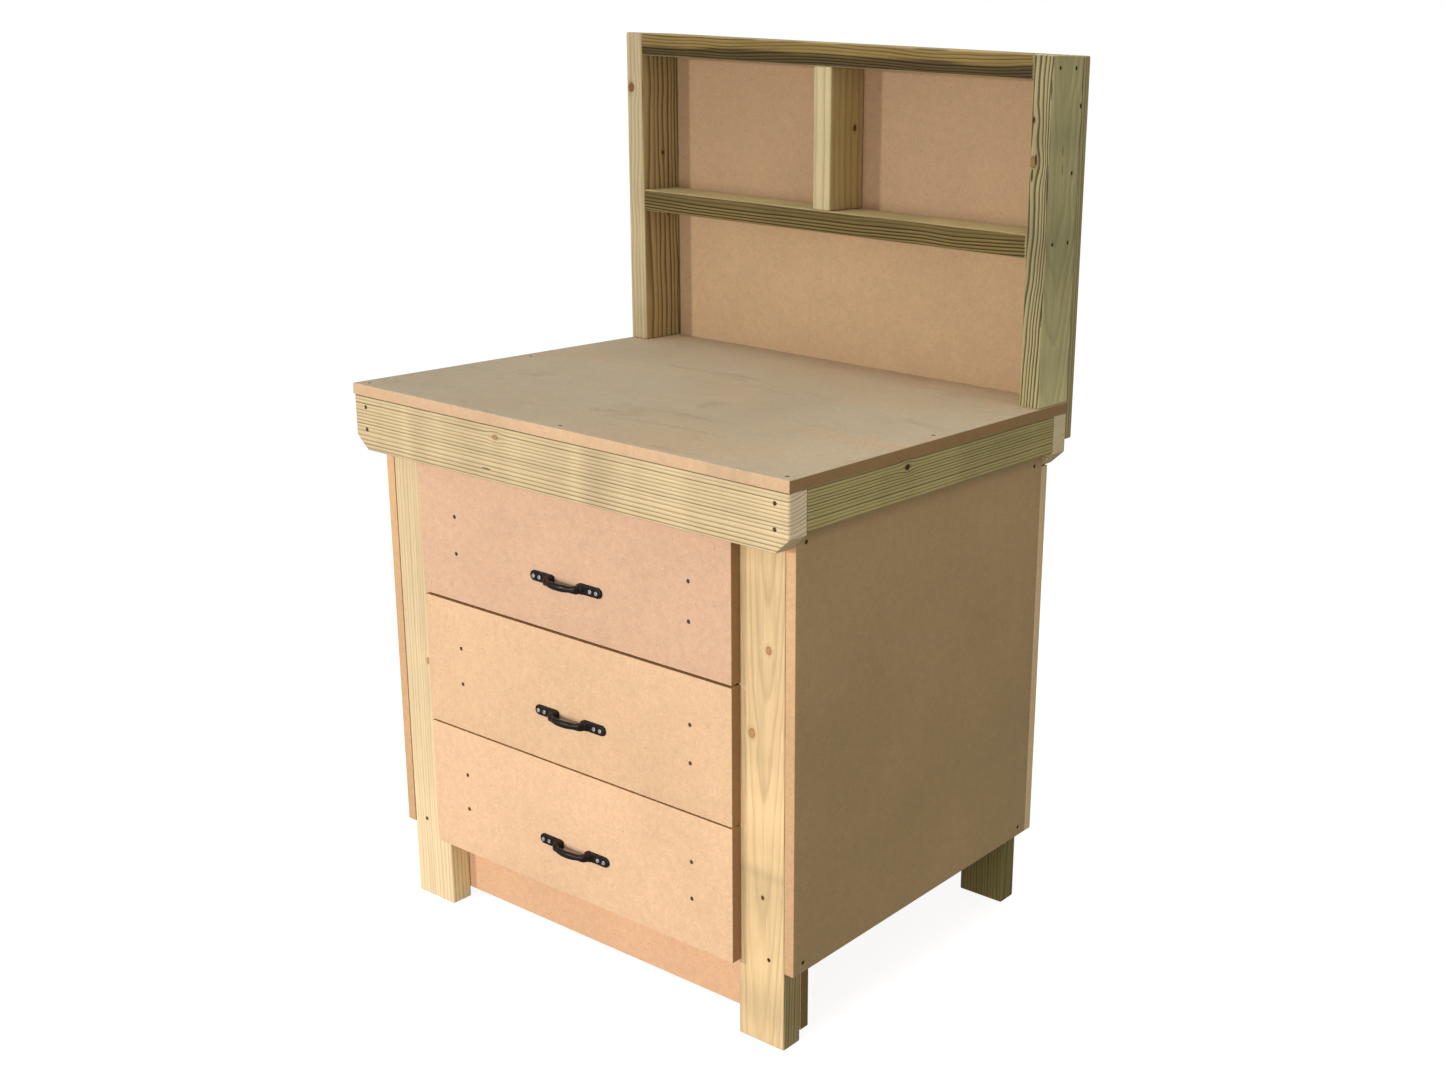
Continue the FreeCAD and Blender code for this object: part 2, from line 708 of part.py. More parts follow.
divider_screws = [
    (FRAME_SCREW, facing, 0, y, z)
    for y in DIVIDER_SCREW_Y
    for facing, z in (("up", unit_top), ("down", size("shelf_bottom")))
]
batten_screws = [
    (PANEL_SCREW, "back", sign * side_rail_x, back_rail_y + size("batten_thickness"), z)
    for sign in SIDES.values()
    for z in BATTEN_SCREW_HEIGHTS
]
back_panel_screws = [
    (PANEL_SCREW, "back", x, back_rail_y + size("mdf"), z)
    for x in BACK_PANEL_SCREW_X
    for z in BACK_PANEL_SCREW_HEIGHTS
]

# Each group of screws and the boards that it is driven through or into.
FASTENED = {
    "frame_screws": (
        rail_screws,
        ["front_rail", "back_rail", "side_rail_left", "side_rail_right"],
    ),
    "kick_board_screws": (kick_screws, ["front_leg_left", "front_leg_right", "kick_board"]),
    "worktop_screws": (
        worktop_screws,
        ["worktop", "front_rail", "side_rail_left", "side_rail_right"],
    ),
    "cladding_screws": (
        panel_screws + cabinet_back_screws,
        [
            "side_panel_left", "side_panel_right", "cabinet_back_panel",
            "front_leg_left", "front_leg_right", "rear_leg_left", "rear_leg_right",
        ],
    ),
    "shelf_unit_screws": (
        unit_side_screws + divider_screws,
        ["upright_left", "upright_right", "top_rail", "shelf", "shelf_divider"],
    ),
    "back_panel_screws": (
        batten_screws + back_panel_screws,
        [
            "back_batten_left", "back_batten_right", "shelf_back_panel",
            "upright_left", "upright_right", "back_rail", "shelf", "top_rail",
        ],
    ),
}
drawer_face_y = LEG_FRONT_Y - size("drawer_front_gap") - size("mdf")
for drawer in DRAWERS:
    middle_z = size(drawer + "_front_low") + size(drawer + "_front_height") / 2
    handle_screws = [
        (
            HANDLE_SCREW, "front", sign * (size("handle_length") / 2 - inset),
            drawer_face_y - size("plate_thickness"), middle_z - size("handle_drop"),
        )
        for sign in SIDES.values()
        for inset in HANDLE_SCREW_INSET
    ]
    front_screws = [
        (FRONT_SCREW, "front", sign * DRAWER_SCREW_X, drawer_face_y, middle_z + rise)
        for sign in SIDES.values()
        for rise in DRAWER_SCREW_RISE
    ]
    FASTENED[drawer + "_drawer_screws"] = (
        handle_screws + front_screws,
        [drawer + "_drawer_front", drawer + "_drawer_inner_front", drawer + "_drawer_handle"],
    )

drilled_by = {}
for name, (screws, boards) in FASTENED.items():
    group = screw_group(name, screws)
    for target in boards:
        drilled_by.setdefault(target, []).append(group)

# Every board that screws pass through is drilled to their exact shape.
for name, blank in blanks.items():
    groups = drilled_by.get(name, [])
    if not groups:
        finish(blank, name)
        continue
    blank.Label = name + "_undrilled"
    drill = groups[0]
    if len(groups) > 1:
        drill = doc.addObject("Part::Compound", name + "_drills")
        drill.Links = groups
    drilled = doc.addObject("Part::Cut", name + "_drilled")
    drilled.Base = blank
    drilled.Tool = drill
    finish(drilled, name)

doc.recompute()

# ------------------------------------------------------------ check and write
for item in doc.Objects:
    if "Invalid" in item.State or "Error" in item.State:
        raise RuntimeError(f"{item.Label} could not be computed: {item.State}")
for label, piece in finished.items():
    if piece.Shape.isNull() or not piece.Shape.isValid():
        raise RuntimeError(f"{label} has no valid shape")

os.makedirs("parts", exist_ok=True)
for label, piece in sorted(finished.items()):
    piece.Shape.exportStep(os.path.join("parts", label + ".step"))
    box = piece.Shape.BoundBox
    print(f"{label:32s} solids {len(piece.Shape.Solids):3d}  volume {piece.Shape.Volume / 1000:9.1f} cm3"
          f"  x {box.XMin:7.1f} {box.XMax:7.1f}  y {box.YMin:7.1f} {box.YMax:7.1f}"
          f"  z {box.ZMin:7.1f} {box.ZMax:7.1f}")
print(len(finished), "sub-parts written")
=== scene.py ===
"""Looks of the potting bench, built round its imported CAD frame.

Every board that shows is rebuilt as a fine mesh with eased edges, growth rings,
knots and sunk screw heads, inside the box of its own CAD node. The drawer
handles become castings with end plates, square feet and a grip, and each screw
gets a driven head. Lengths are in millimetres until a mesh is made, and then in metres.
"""
import json
import math
from itertools import product

import bpy
import numpy as np
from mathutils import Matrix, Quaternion, Vector


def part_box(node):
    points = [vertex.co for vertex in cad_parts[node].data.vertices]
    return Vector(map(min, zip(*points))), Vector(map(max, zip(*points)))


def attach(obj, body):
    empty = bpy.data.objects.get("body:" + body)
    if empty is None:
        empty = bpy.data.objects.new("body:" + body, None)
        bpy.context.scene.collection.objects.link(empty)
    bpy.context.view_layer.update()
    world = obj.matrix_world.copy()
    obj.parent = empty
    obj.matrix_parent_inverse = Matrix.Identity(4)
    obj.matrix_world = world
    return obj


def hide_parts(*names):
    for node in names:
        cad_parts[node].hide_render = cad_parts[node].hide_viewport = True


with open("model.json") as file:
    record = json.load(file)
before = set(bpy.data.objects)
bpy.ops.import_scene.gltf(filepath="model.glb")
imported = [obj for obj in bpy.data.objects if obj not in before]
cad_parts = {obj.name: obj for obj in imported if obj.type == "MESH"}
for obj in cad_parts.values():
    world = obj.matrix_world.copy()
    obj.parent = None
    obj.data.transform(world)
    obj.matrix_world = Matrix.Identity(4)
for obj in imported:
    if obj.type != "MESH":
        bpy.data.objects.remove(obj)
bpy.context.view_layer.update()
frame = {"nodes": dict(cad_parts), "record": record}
scene = bpy.context.scene
MM = 0.001
DRAWERS = ("bottom", "middle", "top")
BODY_OF = {
    node: body
    for body, nodes in frame["record"]["behaviour"]["bodies"].items()
    for node in nodes
}


# ------------------------------------------------------------------ numbers
def box(node):
    """Lowest and highest corner of a CAD node, in mm."""
    low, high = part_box(node)
    return np.array(low) / MM, np.array(high) / MM


def lattice(corner, seed):
    """One fixed number from 0 to 1 for each whole-number corner."""
    x, y, z = corner
    n = (x * 73856093) ^ (y * 19349663) ^ (z * 83492791) ^ (seed * 97531)
    n = ((n ^ (n >> 13)) * 1274126177) & 0x7FFFFFFFFFFF
    n = n ^ (n >> 16)
    return (n & 0xFFFFFF) / 0xFFFFFF


def noise(points, scale, seed):
    """Smooth noise from -1 to 1, with features of about scale along each axis."""
    q = points / np.asarray(scale, float)
    base = np.floor(q).astype(np.int64)
    t = q - base
    t = t * t * (3 - 2 * t)
    total = np.zeros(len(points))
    for corner in product((0, 1), repeat=3):
        weight = np.prod(np.where(corner, t, 1 - t), axis=1)
        total += weight * lattice((base + corner).T, seed)
    return total * 2 - 1


def smooth(value, start, end):
    """0 at start and 1 at end, turning gently between them."""
    t = np.clip((value - start) / (end - start), 0, 1)
    return t * t * (3 - 2 * t)


# ------------------------------------------------------------------- meshes
def new_piece(name, points, faces, materials, body, nodes):
    """A mesh object from points in mm, which rides on body and stands for nodes."""
    mesh = bpy.data.meshes.new(name)
    mesh.from_pydata((np.asarray(points) * MM).tolist(), [], faces)
    mesh.polygons.foreach_set("use_smooth", [True] * len(mesh.polygons))
    for material in materials:
        mesh.materials.append(material)
    piece = bpy.data.objects.new(name, mesh)
    scene.collection.objects.link(piece)
    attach(piece, body)
    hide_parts(*nodes)
    return piece


def add_attribute(piece, name, values):
    """A value or a vector for each point of the piece, for its material."""
    values = np.asarray(values, np.float32)
    kind, key = ("FLOAT", "value") if values.ndim == 1 else ("FLOAT_VECTOR", "vector")
    attribute = piece.data.attributes.new(name, kind, "POINT")
    attribute.data.foreach_set(key, values.ravel())


def grid_lines(low, high, radius, step, fine):
    """Places of the grid lines across a board. They are close together round the
    eased edges, and near each (centre, reach, gap) in fine."""
    edge = radius * (1 - np.tan(np.radians([45, 30, 15, 0])))
    count = max(2, math.ceil((high - low - 2 * radius) / step) + 1)
    places = [low + edge, high - edge, np.linspace(low + radius, high - radius, count)]
    for centre, reach, gap in fine:
        near = np.arange(centre - reach, centre + reach + gap / 2, gap)
        places.append(near[(near > low + radius) & (near < high - radius)])
    places = np.sort(np.concatenate(places))
    return places[np.concatenate([[True], np.diff(places) > 0.04])]


def rounded_box(low, high, radius, lines):
    """Points, outward directions and four-cornered faces of a box with round edges."""
    counts = [len(line) for line in lines]
    faces = []
    for axis, first, second in ((0, 1, 2), (1, 2, 0), (2, 0, 1)):
        i, j = np.meshgrid(np.arange(counts[first]), np.arange(counts[second]), indexing="ij")
        for side in (0, 1):
            index = np.zeros((3, *i.shape), int)
            index[axis] = side * (counts[axis] - 1)
            index[first] = i
            index[second] = j
            code = (index[0] * counts[1] + index[1]) * counts[2] + index[2]
            corners = [code[:-1, :-1], code[1:, :-1], code[1:, 1:], code[:-1, 1:]]
            quads = np.stack(corners, -1).reshape(-1, 4)
            faces.append(quads if side else quads[:, ::-1])
    used, faces = np.unique(np.concatenate(faces), return_inverse=True)
    rows = (used // (counts[1] * counts[2]), used // counts[2] % counts[1], used % counts[2])
    raw = np.stack([line[row] for line, row in zip(lines, rows)], 1)
    core = np.clip(raw, low + radius, high - radius)
    out = raw - core
    out /= np.linalg.norm(out, axis=1)[:, None]
    return core + radius * out, out, faces.reshape(-1, 4)


# ------------------------------------------------------------------- screws
def solids(node):
    """The points of each separate solid in a CAD node, in mm."""
    mesh = frame["nodes"][node].data
    points = np.array([v.co for v in mesh.vertices]) / MM
    points, index = np.unique(np.round(points, 2), axis=0, return_inverse=True)
    first, second = index.ravel()[np.array([e.vertices[:] for e in mesh.edges])].T
    label = np.arange(len(points))
    while True:
        lower = np.minimum(label[first], label[second])
        merged = label.copy()
        np.minimum.at(merged, first, lower)
        np.minimum.at(merged, second, lower)
        if (merged == label).all():
            return [points[label == each] for each in np.unique(label)]
        label = merged


def read_screws(node):
    """Seat, outward direction, head radius, head height and length of each screw."""
    screws = []
    for points in solids(node):
        low, high = points.min(0), points.max(0)
        axis = int(np.argmax(high - low))
        middle = (low + high) / 2
        radial = np.linalg.norm(np.delete(points - middle, axis, 1), axis=1)
        widest = points[radial > radial.max() - 0.05, axis].mean()
        sign = 1 if widest > middle[axis] else -1
        out = np.eye(3)[axis] * sign
        seat = middle.copy()
        seat[axis] = widest
        top = (high if sign > 0 else low)[axis]
        screws.append(
            {
                "seat": seat,
                "out": out,
                "axis": axis,
                "radius": radial.max(),
                "proud": abs(top - widest),
                "length": high[axis] - low[axis],
            }
        )
    return screws


SCREW_NODES = [node for node in frame["nodes"] if node.endswith("_screws")]
SCREWS = {node: read_screws(node) for node in SCREW_NODES}
# A flush head is drawn with this radius, this far under the face, in a pit of
# this depth. A head that stands prouder than PAN is a pan head.
SUNK_HEAD = 2.7
SUNK_BY = 0.9
SINKING = 1.3
PAN = 0.1
SEAT_SLACK = 0.6


def sunk_in(low, high):
    """The flush screws whose heads lie on a face of the box from low to high."""
    found = []
    for screw in (s for group in SCREWS.values() for s in group):
        seat = screw["seat"]
        inside = np.all((seat > low - SEAT_SLACK) & (seat < high + SEAT_SLACK))
        face = (high if screw["out"].sum() > 0 else low)[screw["axis"]]
        on_face = abs(seat[screw["axis"]] - face) < SEAT_SLACK
        if inside and on_face and screw["proud"] < PAN:
            found.append(screw)
    return found


def screw_mesh(screw, points, faces, kinds):
    """Adds one screw with a cross recess in its head to the lists."""
    turns, pan = 24, screw["proud"] > PAN
    head = screw["radius"] if pan else SUNK_HEAD
    drop = 0 if pan else SUNK_BY
    shank = head * 0.5
    # Each row is a radius, and a height above the seat.
    if pan:
        rise = screw["proud"]
        dome = np.linspace(0, 1, 9)
        rows = [(head * k, rise * math.sqrt(1 - (k * 0.8) ** 2)) for k in dome]
        rows.append((head, 0.0))
        rows.append((shank, -0.3))
    else:
        rows = [(head * k, -drop) for k in np.linspace(0, 1, 9)]
        rows.append((head, -drop - 0.35))
        rows.append((shank, -drop - 2.6))
    end = screw["proud"] - screw["length"]
    rows.append((shank, end + 4))
    rows.append((shank * 0.15, end + 0.1))
    start = len(points)
    first = np.cross(screw["out"], np.roll(np.abs(screw["out"]), 1))
    second = np.cross(screw["out"], first)
    for radius, height in rows:
        for k in range(turns):
            angle = 2 * math.pi * k / turns
            x, y = radius * math.cos(angle), radius * math.sin(angle)
            arm = min(abs(x), abs(y))
            deep = 1.5 * float(smooth(arm, 0.62, 0.3) * smooth(radius, head * 0.72, head * 0.5))
            level = height - (deep if height > -drop - 0.1 else 0.0)
            points.append(screw["seat"] + first * x + second * y + screw["out"] * level)
    for row in range(len(rows) - 1):
        for k in range(turns):
            a, b = start + row * turns + k, start + row * turns + (k + 1) % turns
            faces.append((b, a, a + turns, b + turns))
            kinds.append(0 if pan else 1)
    last = start + (len(rows) - 1) * turns
    faces.append(tuple(start + k for k in range(turns)))
    kinds.append(0 if pan else 1)
    faces.append(tuple(last + k for k in reversed(range(turns))))
    kinds.append(0 if pan else 1)


# ------------------------------------------------------------------- boards
KNOT_KINDS = {"pale": 0.0, "red": 0.4, "brown": 0.65, "dark": 1.0}
FAR = 9.0


def board(node, radius, step, along_step, dents=(), knots=(), clip=None):
    """Points, outward directions and faces of a board, both in the board's own
    directions (along, across, through) too, how far each point is sunk and how
    dark it is marked, and the board's box. clip is the cut lower corners' size."""
    low, high = box(node)
    order = np.argsort(high - low)[::-1]
    screws = sunk_in(low, high)
    fine = {0: [], 1: [], 2: []}
    for screw in screws:
        for axis in range(3):
            if axis != screw["axis"]:
                fine[axis].append((screw["seat"][axis], SUNK_HEAD + 1.6, 0.8))
    for along, offset, length, width, _, face in dents:
        side = order[1] if face == "wide" else order[2]
        fine[order[0]].append((low[order[0]] + along, length * 1.4, max(0.8, length / 7)))
        fine[side].append((low[side] + offset, width * 1.8 + 0.6, max(0.45, width / 4)))
    for along, offset, size, _, face in knots:
        side = order[1] if face == "wide" else order[2]
        fine[order[0]].append((low[order[0]] + along, size * 4, max(1.2, size / 3)))
        fine[side].append((low[side] + offset, size * 2, max(1.0, size / 4)))
    if clip:
        for place in (low[0] + clip[0], high[0] - clip[0]):
            fine[0].append((place, 0.2, 0.2))
    steps = {order[0]: along_step, order[1]: step, order[2]: step}
    lines = [grid_lines(low[a], high[a], radius, steps[a], fine[a]) for a in range(3)]
    points, out, faces = rounded_box(low, high, radius, lines)
    if clip:
        reach = np.minimum(points[:, 0] - low[0], high[0] - points[:, 0])
        rise = clip[1] * np.clip(1 - reach / clip[0], 0, 1)
        points[:, 2] += rise * (high[2] - points[:, 2]) / (high[2] - low[2])
    inward = np.zeros(len(points))
    mark = np.zeros(len(points))
    for screw in screws:
        offset = np.delete(points - screw["seat"], screw["axis"], 1)
        distance = np.linalg.norm(offset, axis=1) + noise(points, (2, 2, 2), 7) * 0.25
        facing = out @ screw["out"] > 0.7
        near = np.where(facing, smooth(distance, SUNK_HEAD + 0.7, SUNK_HEAD + 0.1), 0)
        inward += near * SINKING
        mark = np.maximum(mark, np.where(facing, smooth(distance, SUNK_HEAD + 1.4, SUNK_HEAD), 0))
    local = (points - (low + high) / 2)[:, order]
    turned = out[:, order]
    for along, offset, length, width, depth, face in dents:
        side, normal = (1, 2) if face == "wide" else (2, 1)
        half = (high - low)[order] / 2
        u = (local[:, 0] + half[0] - along) / length
        v = (local[:, side] + half[side] - offset) / width
        distance = np.hypot(u, v) + noise(points, (5, 5, 5), 11) * 0.25
        facing = np.abs(turned[:, normal]) > 0.7
        near = np.where(facing, smooth(distance, 1.1, 0.6), 0)
        inward += near * depth
        mark = np.maximum(mark, near)
    return points, out, faces, local, turned, inward, mark, (low, high, order)


def knot_field(local, turned, knots, half):
    """Each point's distance from its nearest knot, in knot radii, and that knot's kind."""
    nearest = np.full(len(local), FAR)
    nearest_kind = np.zeros(len(local))
    for along, offset, size, kind, face in knots:
        side, normal = (1, 2) if face == "wide" else (2, 1)
        u = (local[:, 0] + half[0] - along) / (size * 1.25)
        v = (local[:, side] + half[side] - offset) / size
        distance = np.where(np.abs(turned[:, normal]) > 0.5, np.hypot(u, v), FAR)
        nearest_kind = np.where(distance < nearest, KNOT_KINDS[kind], nearest_kind)
        nearest = np.minimum(distance, nearest)
    return nearest, nearest_kind


def colouring(local, turned, look, half, seed):
    """The tint of each point, and how dark its late wood is."""
    on_edge = smooth(np.abs(turned[:, 1]), 0.5, 0.9)
    edge = {"tint": look["tint"], "lines": look["lines"], **look.get("edge", {})}
    tint = np.array(look["tint"]) + on_edge[:, None] * np.subtract(edge["tint"], look["tint"])
    lines = look["lines"] + on_edge * (edge["lines"] - look["lines"])
    near, far = look.get("fade", (1, 1))
    tint *= (near + (far - near) * (local[:, 0] / half[0] + 1) / 2)[:, None]
    patch = noise(local, (75, 160, 160), seed + 4) + 0.6 * noise(local, (28, 160, 160), seed + 5)
    tint *= (1 + look.get("figure", 0.04) * patch)[:, None]
    for along, reach, factor in look.get("bands", ()):
        place = local[:, 0] + half[0] - along + 4 * noise(local, (40, 30, 30), seed + 7)
        tint *= (1 + (factor - 1) * np.exp(-((place / reach) ** 2)))[:, None]
    if "low_band" in look:
        place, factor, crowding = look["low_band"]
        line = place + 3 * noise(local, (60, 60, 60), seed + 6)
        low = on_edge * smooth(local[:, 2] - line, 4, -4)
        tint *= (1 + (factor - 1) * low)[:, None]
        lines = lines * (1 + (crowding - 1) * low)
    return tint, lines


def timber(node, look, seed):
    """A sawn softwood board with eased edges, growth rings and knots."""
    knots = look.get("knots", ())
    made = board(
        node, EASED, look.get("step", 1.6), look.get("along", 14), look.get("dents", ()),
        knots, look.get("clip"),
    )
    points, out, faces, local, turned, inward, mark, (low, high, order) = made
    half = (high - low)[order] / 2
    # The wood's own coordinates, bent so that the rings go round each knot.
    bent = local.copy()
    for along, offset, size, _, face in knots:
        side = 1 if face == "wide" else 2
        u = (local[:, 0] + half[0] - along) / (size * 3.2)
        v = (local[:, side] + half[side] - offset) / (size * 2.2)
        pull = 0.8 * np.exp(-(u * u + v * v))
        bent[:, side] -= (local[:, side] + half[side] - offset) * pull
    wander = look.get("wander", 1.0)
    across = bent[:, 1] - look["pith"][0] - look.get("lean", (0, 0))[0] * bent[:, 0]
    through = bent[:, 2] - look["pith"][1] - look.get("lean", (0, 0))[1] * bent[:, 0]
    radius = np.hypot(across, through)
    radius += wander * 2.2 * noise(bent, (240, 60, 60), seed)
    radius += wander * 0.7 * noise(bent, (70, 22, 22), seed + 1)
    radius += look.get("ripple", 0) * noise(bent, (34, 40, 40), seed + 8)
    spacing = look.get("rings", 4.5)
    uneven = noise(np.stack([radius, radius * 0, radius * 0], 1), (spacing * 3, 1, 1), seed + 2)
    ring = radius / spacing + 0.45 * uneven
    # Late wood lies in shallow grooves, and the whole face is a little uneven.
    part = ring - np.floor(ring)
    groove = (0.5 - 0.5 * np.cos(2 * math.pi * (part - 0.36))) ** 1.5
    flat = 1 - np.abs(turned[:, 0])
    inward += look.get("relief", 0.08) * groove * flat
    inward += 0.3 * (0.5 + 0.5 * noise(local, (190, 45, 45), seed + 3)) * flat
    nearest, nearest_kind = knot_field(local, turned, knots, half)
    inward += 0.3 * np.exp(-(((nearest - 1) / 0.12) ** 2))
    points = points - out * inward[:, None]
    piece = new_piece(
        "timber_" + node, points, faces.tolist(), [MATERIALS["timber"]], BODY_OF[node],
        [node],
    )
    eased = 1 - np.max(np.abs(out), axis=1)
    end = smooth(np.abs(turned[:, 0]), 0.5, 0.9)
    add_attribute(piece, "ring", ring)
    add_attribute(piece, "grain", local * MM + np.array([seed * 1.37, seed * 0.61, seed * 0.23]))
    add_attribute(piece, "knot", np.stack([nearest, nearest_kind, nearest * 0], 1))
    add_attribute(piece, "face", np.stack([end, smooth(eased, 0.0, 0.25), mark], 1))
    tint, lines = colouring(local, turned, look, half, seed)
    add_attribute(piece, "tint", tint)
    add_attribute(piece, "lines", lines)
    return piece


# Colour factors for the right edges of these boards: painted shade on the worktop's and the kick board's,
# and painted light, lighter and greener, on the cabinet back panel's.
RIGHT_EDGE_SHADING = {
    "worktop": (0.55, 0.50, 0.31),
    "kick_board": (0.7, 0.66, 0.45),
    "cabinet_back_panel": (1.2, 1.4, 1.35),
}


def paint_light_and_shade(node, points, out, right):
    """How much of its red, green and blue each point of an MDF board loses to painted shade, or gains from
    painted light where it is below 0. right is 1 on the board's right edge."""
    painted_shading = right[:, None] * (1 - np.array(RIGHT_EDGE_SHADING.get(node, (1, 1, 1))))
    height = points[:, 2]
    # Painted light: the drawer fronts' top edges are lighter, as light reflected into the gaps between them.
    if node.endswith("_drawer_front"):
        painted_shading -= 0.7 * smooth(out[:, 2], 0.5, 0.9)[:, None]
    # Painted light: the front face of the shelf unit's back is lighter below the shelf, as light bounced
    # from the worktop.
    if node == "shelf_back_panel":
        shelf_bottom = box("shelf")[0][2]
        under_shelf = smooth(height, shelf_bottom + 40, shelf_bottom - 30)
        painted_shading -= (under_shelf * (out[:, 1] < 0))[:, None] * np.array([0.16, 0.20, 0.22])
    # Painted shadow on the side panels just under the side rail, and the panels made lighter from 500 mm
    # upwards.
    if node.startswith("side_panel"):
        painted_shading += (0.3 * smooth(height, 790, 815) - 0.13 * smooth(height, 500, 800))[:, None]
    # The worktop's top face is made lighter towards its right end, from 100 mm to 400 mm right of the
    # bench's middle.
    if node == "worktop":
        painted_shading -= 0.12 * (smooth(points[:, 0], 100, 400) * (out[:, 2] > 0.5))[:, None]
    return painted_shading


def fibreboard(node, material, radius=0.8, step=40):
    """An MDF board with crisp sanded edges."""
    made = board(node, radius, step, step)
    points, out, faces, local, turned, inward, mark, (_, _, order) = made
    inward += 0.05 * (0.5 + 0.5 * noise(local, (90, 90, 90), 5))
    points = points - out * inward[:, None]
    piece = new_piece(
        "mdf_" + node, points, faces.tolist(), [MATERIALS[material]], BODY_OF[node], [node]
    )
    cut = smooth(1 - np.abs(turned[:, 2]), 0.3, 0.9)
    eased = smooth(1 - np.max(np.abs(out), axis=1), 0.0, 0.25)
    add_attribute(piece, "face", np.stack([cut, eased, mark], 1))
    right = smooth(turned @ np.eye(3)[:, list(order).index(0)], 0.5, 0.9) * cut
    add_attribute(piece, "painted_shading", paint_light_and_shade(node, points, out, right))
    return piece


# ---------------------------------------------------------------- materials
class Nodes:
    """Short ways to write one material's node tree."""

    def __init__(self, name):
        self.material = bpy.data.materials.new(name)
        self.material.use_nodes = True
        self.tree = self.material.node_tree
        self.shader = self.tree.nodes["Principled BSDF"]

    def node(self, kind, inputs=(), **settings):
        node = self.tree.nodes.new(kind)
        for key, value in settings.items():
            setattr(node, key, value)
        for key, value in dict(inputs).items():
            self.give(node.inputs[key], value)
        return node

    def give(self, socket, value):
        if isinstance(value, bpy.types.NodeSocket):
            self.tree.links.new(value, socket)
        else:
            socket.default_value = value

    def math(self, operation, first, second=0.0, third=0.0, clamp=False):
        inputs = {0: first, 1: second, 2: third}
        return self.node("ShaderNodeMath", inputs, operation=operation, use_clamp=clamp).outputs[0]

    def vector(self, operation, first, second):
        return self.node("ShaderNodeVectorMath", {0: first, 1: second}, operation=operation).outputs[0]

    def mix(self, factor, first, second, blend="MIX"):
        first, second = (
            (*c, 1) if isinstance(c, tuple) and len(c) == 3 else c for c in (first, second)
        )
        settings = {"data_type": "RGBA", "blend_type": blend}
        return self.node("ShaderNodeMix", {0: factor, 6: first, 7: second}, **settings).outputs[2]

    def ramp(self, value, stops):
        """Turns a value into a grey or a colour, with a straight run between stops."""
        ramp = self.node("ShaderNodeValToRGB", {0: value})
        elements = ramp.color_ramp.elements
        while len(elements) < len(stops):
            elements.new(0.5)
        for element, (place, colour) in zip(elements, stops):
            element.position = place
            grey = not isinstance(colour, tuple)
            element.color = (colour, colour, colour, 1) if grey else (*colour, 1)
        return ramp.outputs[0]

    def noise(self, vector, scale, detail=3.0, rough=0.55, warp=0.0):
        inputs = {"Vector": vector, "Scale": scale, "Detail": detail, "Roughness": rough, "Distortion": warp}
        return self.node("ShaderNodeTexNoise", inputs).outputs[0]

    def attribute(self, name, output="Vector"):
        return self.node("ShaderNodeAttribute", attribute_name=name).outputs[output]

    def parts(self, vector):
        return self.node("ShaderNodeSeparateXYZ", {0: vector}).outputs

    def place(self):
        return self.node("ShaderNodeTexCoord").outputs["Object"]

    def bump(self, height, strength, distance, below=None):
        inputs = {"Height": height, "Strength": strength, "Distance": distance}
        if below is not None:
            inputs["Normal"] = below
        return self.node("ShaderNodeBump", inputs).outputs[0]

    def finish(self, colour, roughness, normal, **plain):
        self.give(self.shader.inputs["Base Color"], colour)
        self.give(self.shader.inputs["Roughness"], roughness)
        self.give(self.shader.inputs["Normal"], normal)
        for key, value in plain.items():
            self.shader.inputs[key.replace("_", " ")].default_value = value
        return self.material


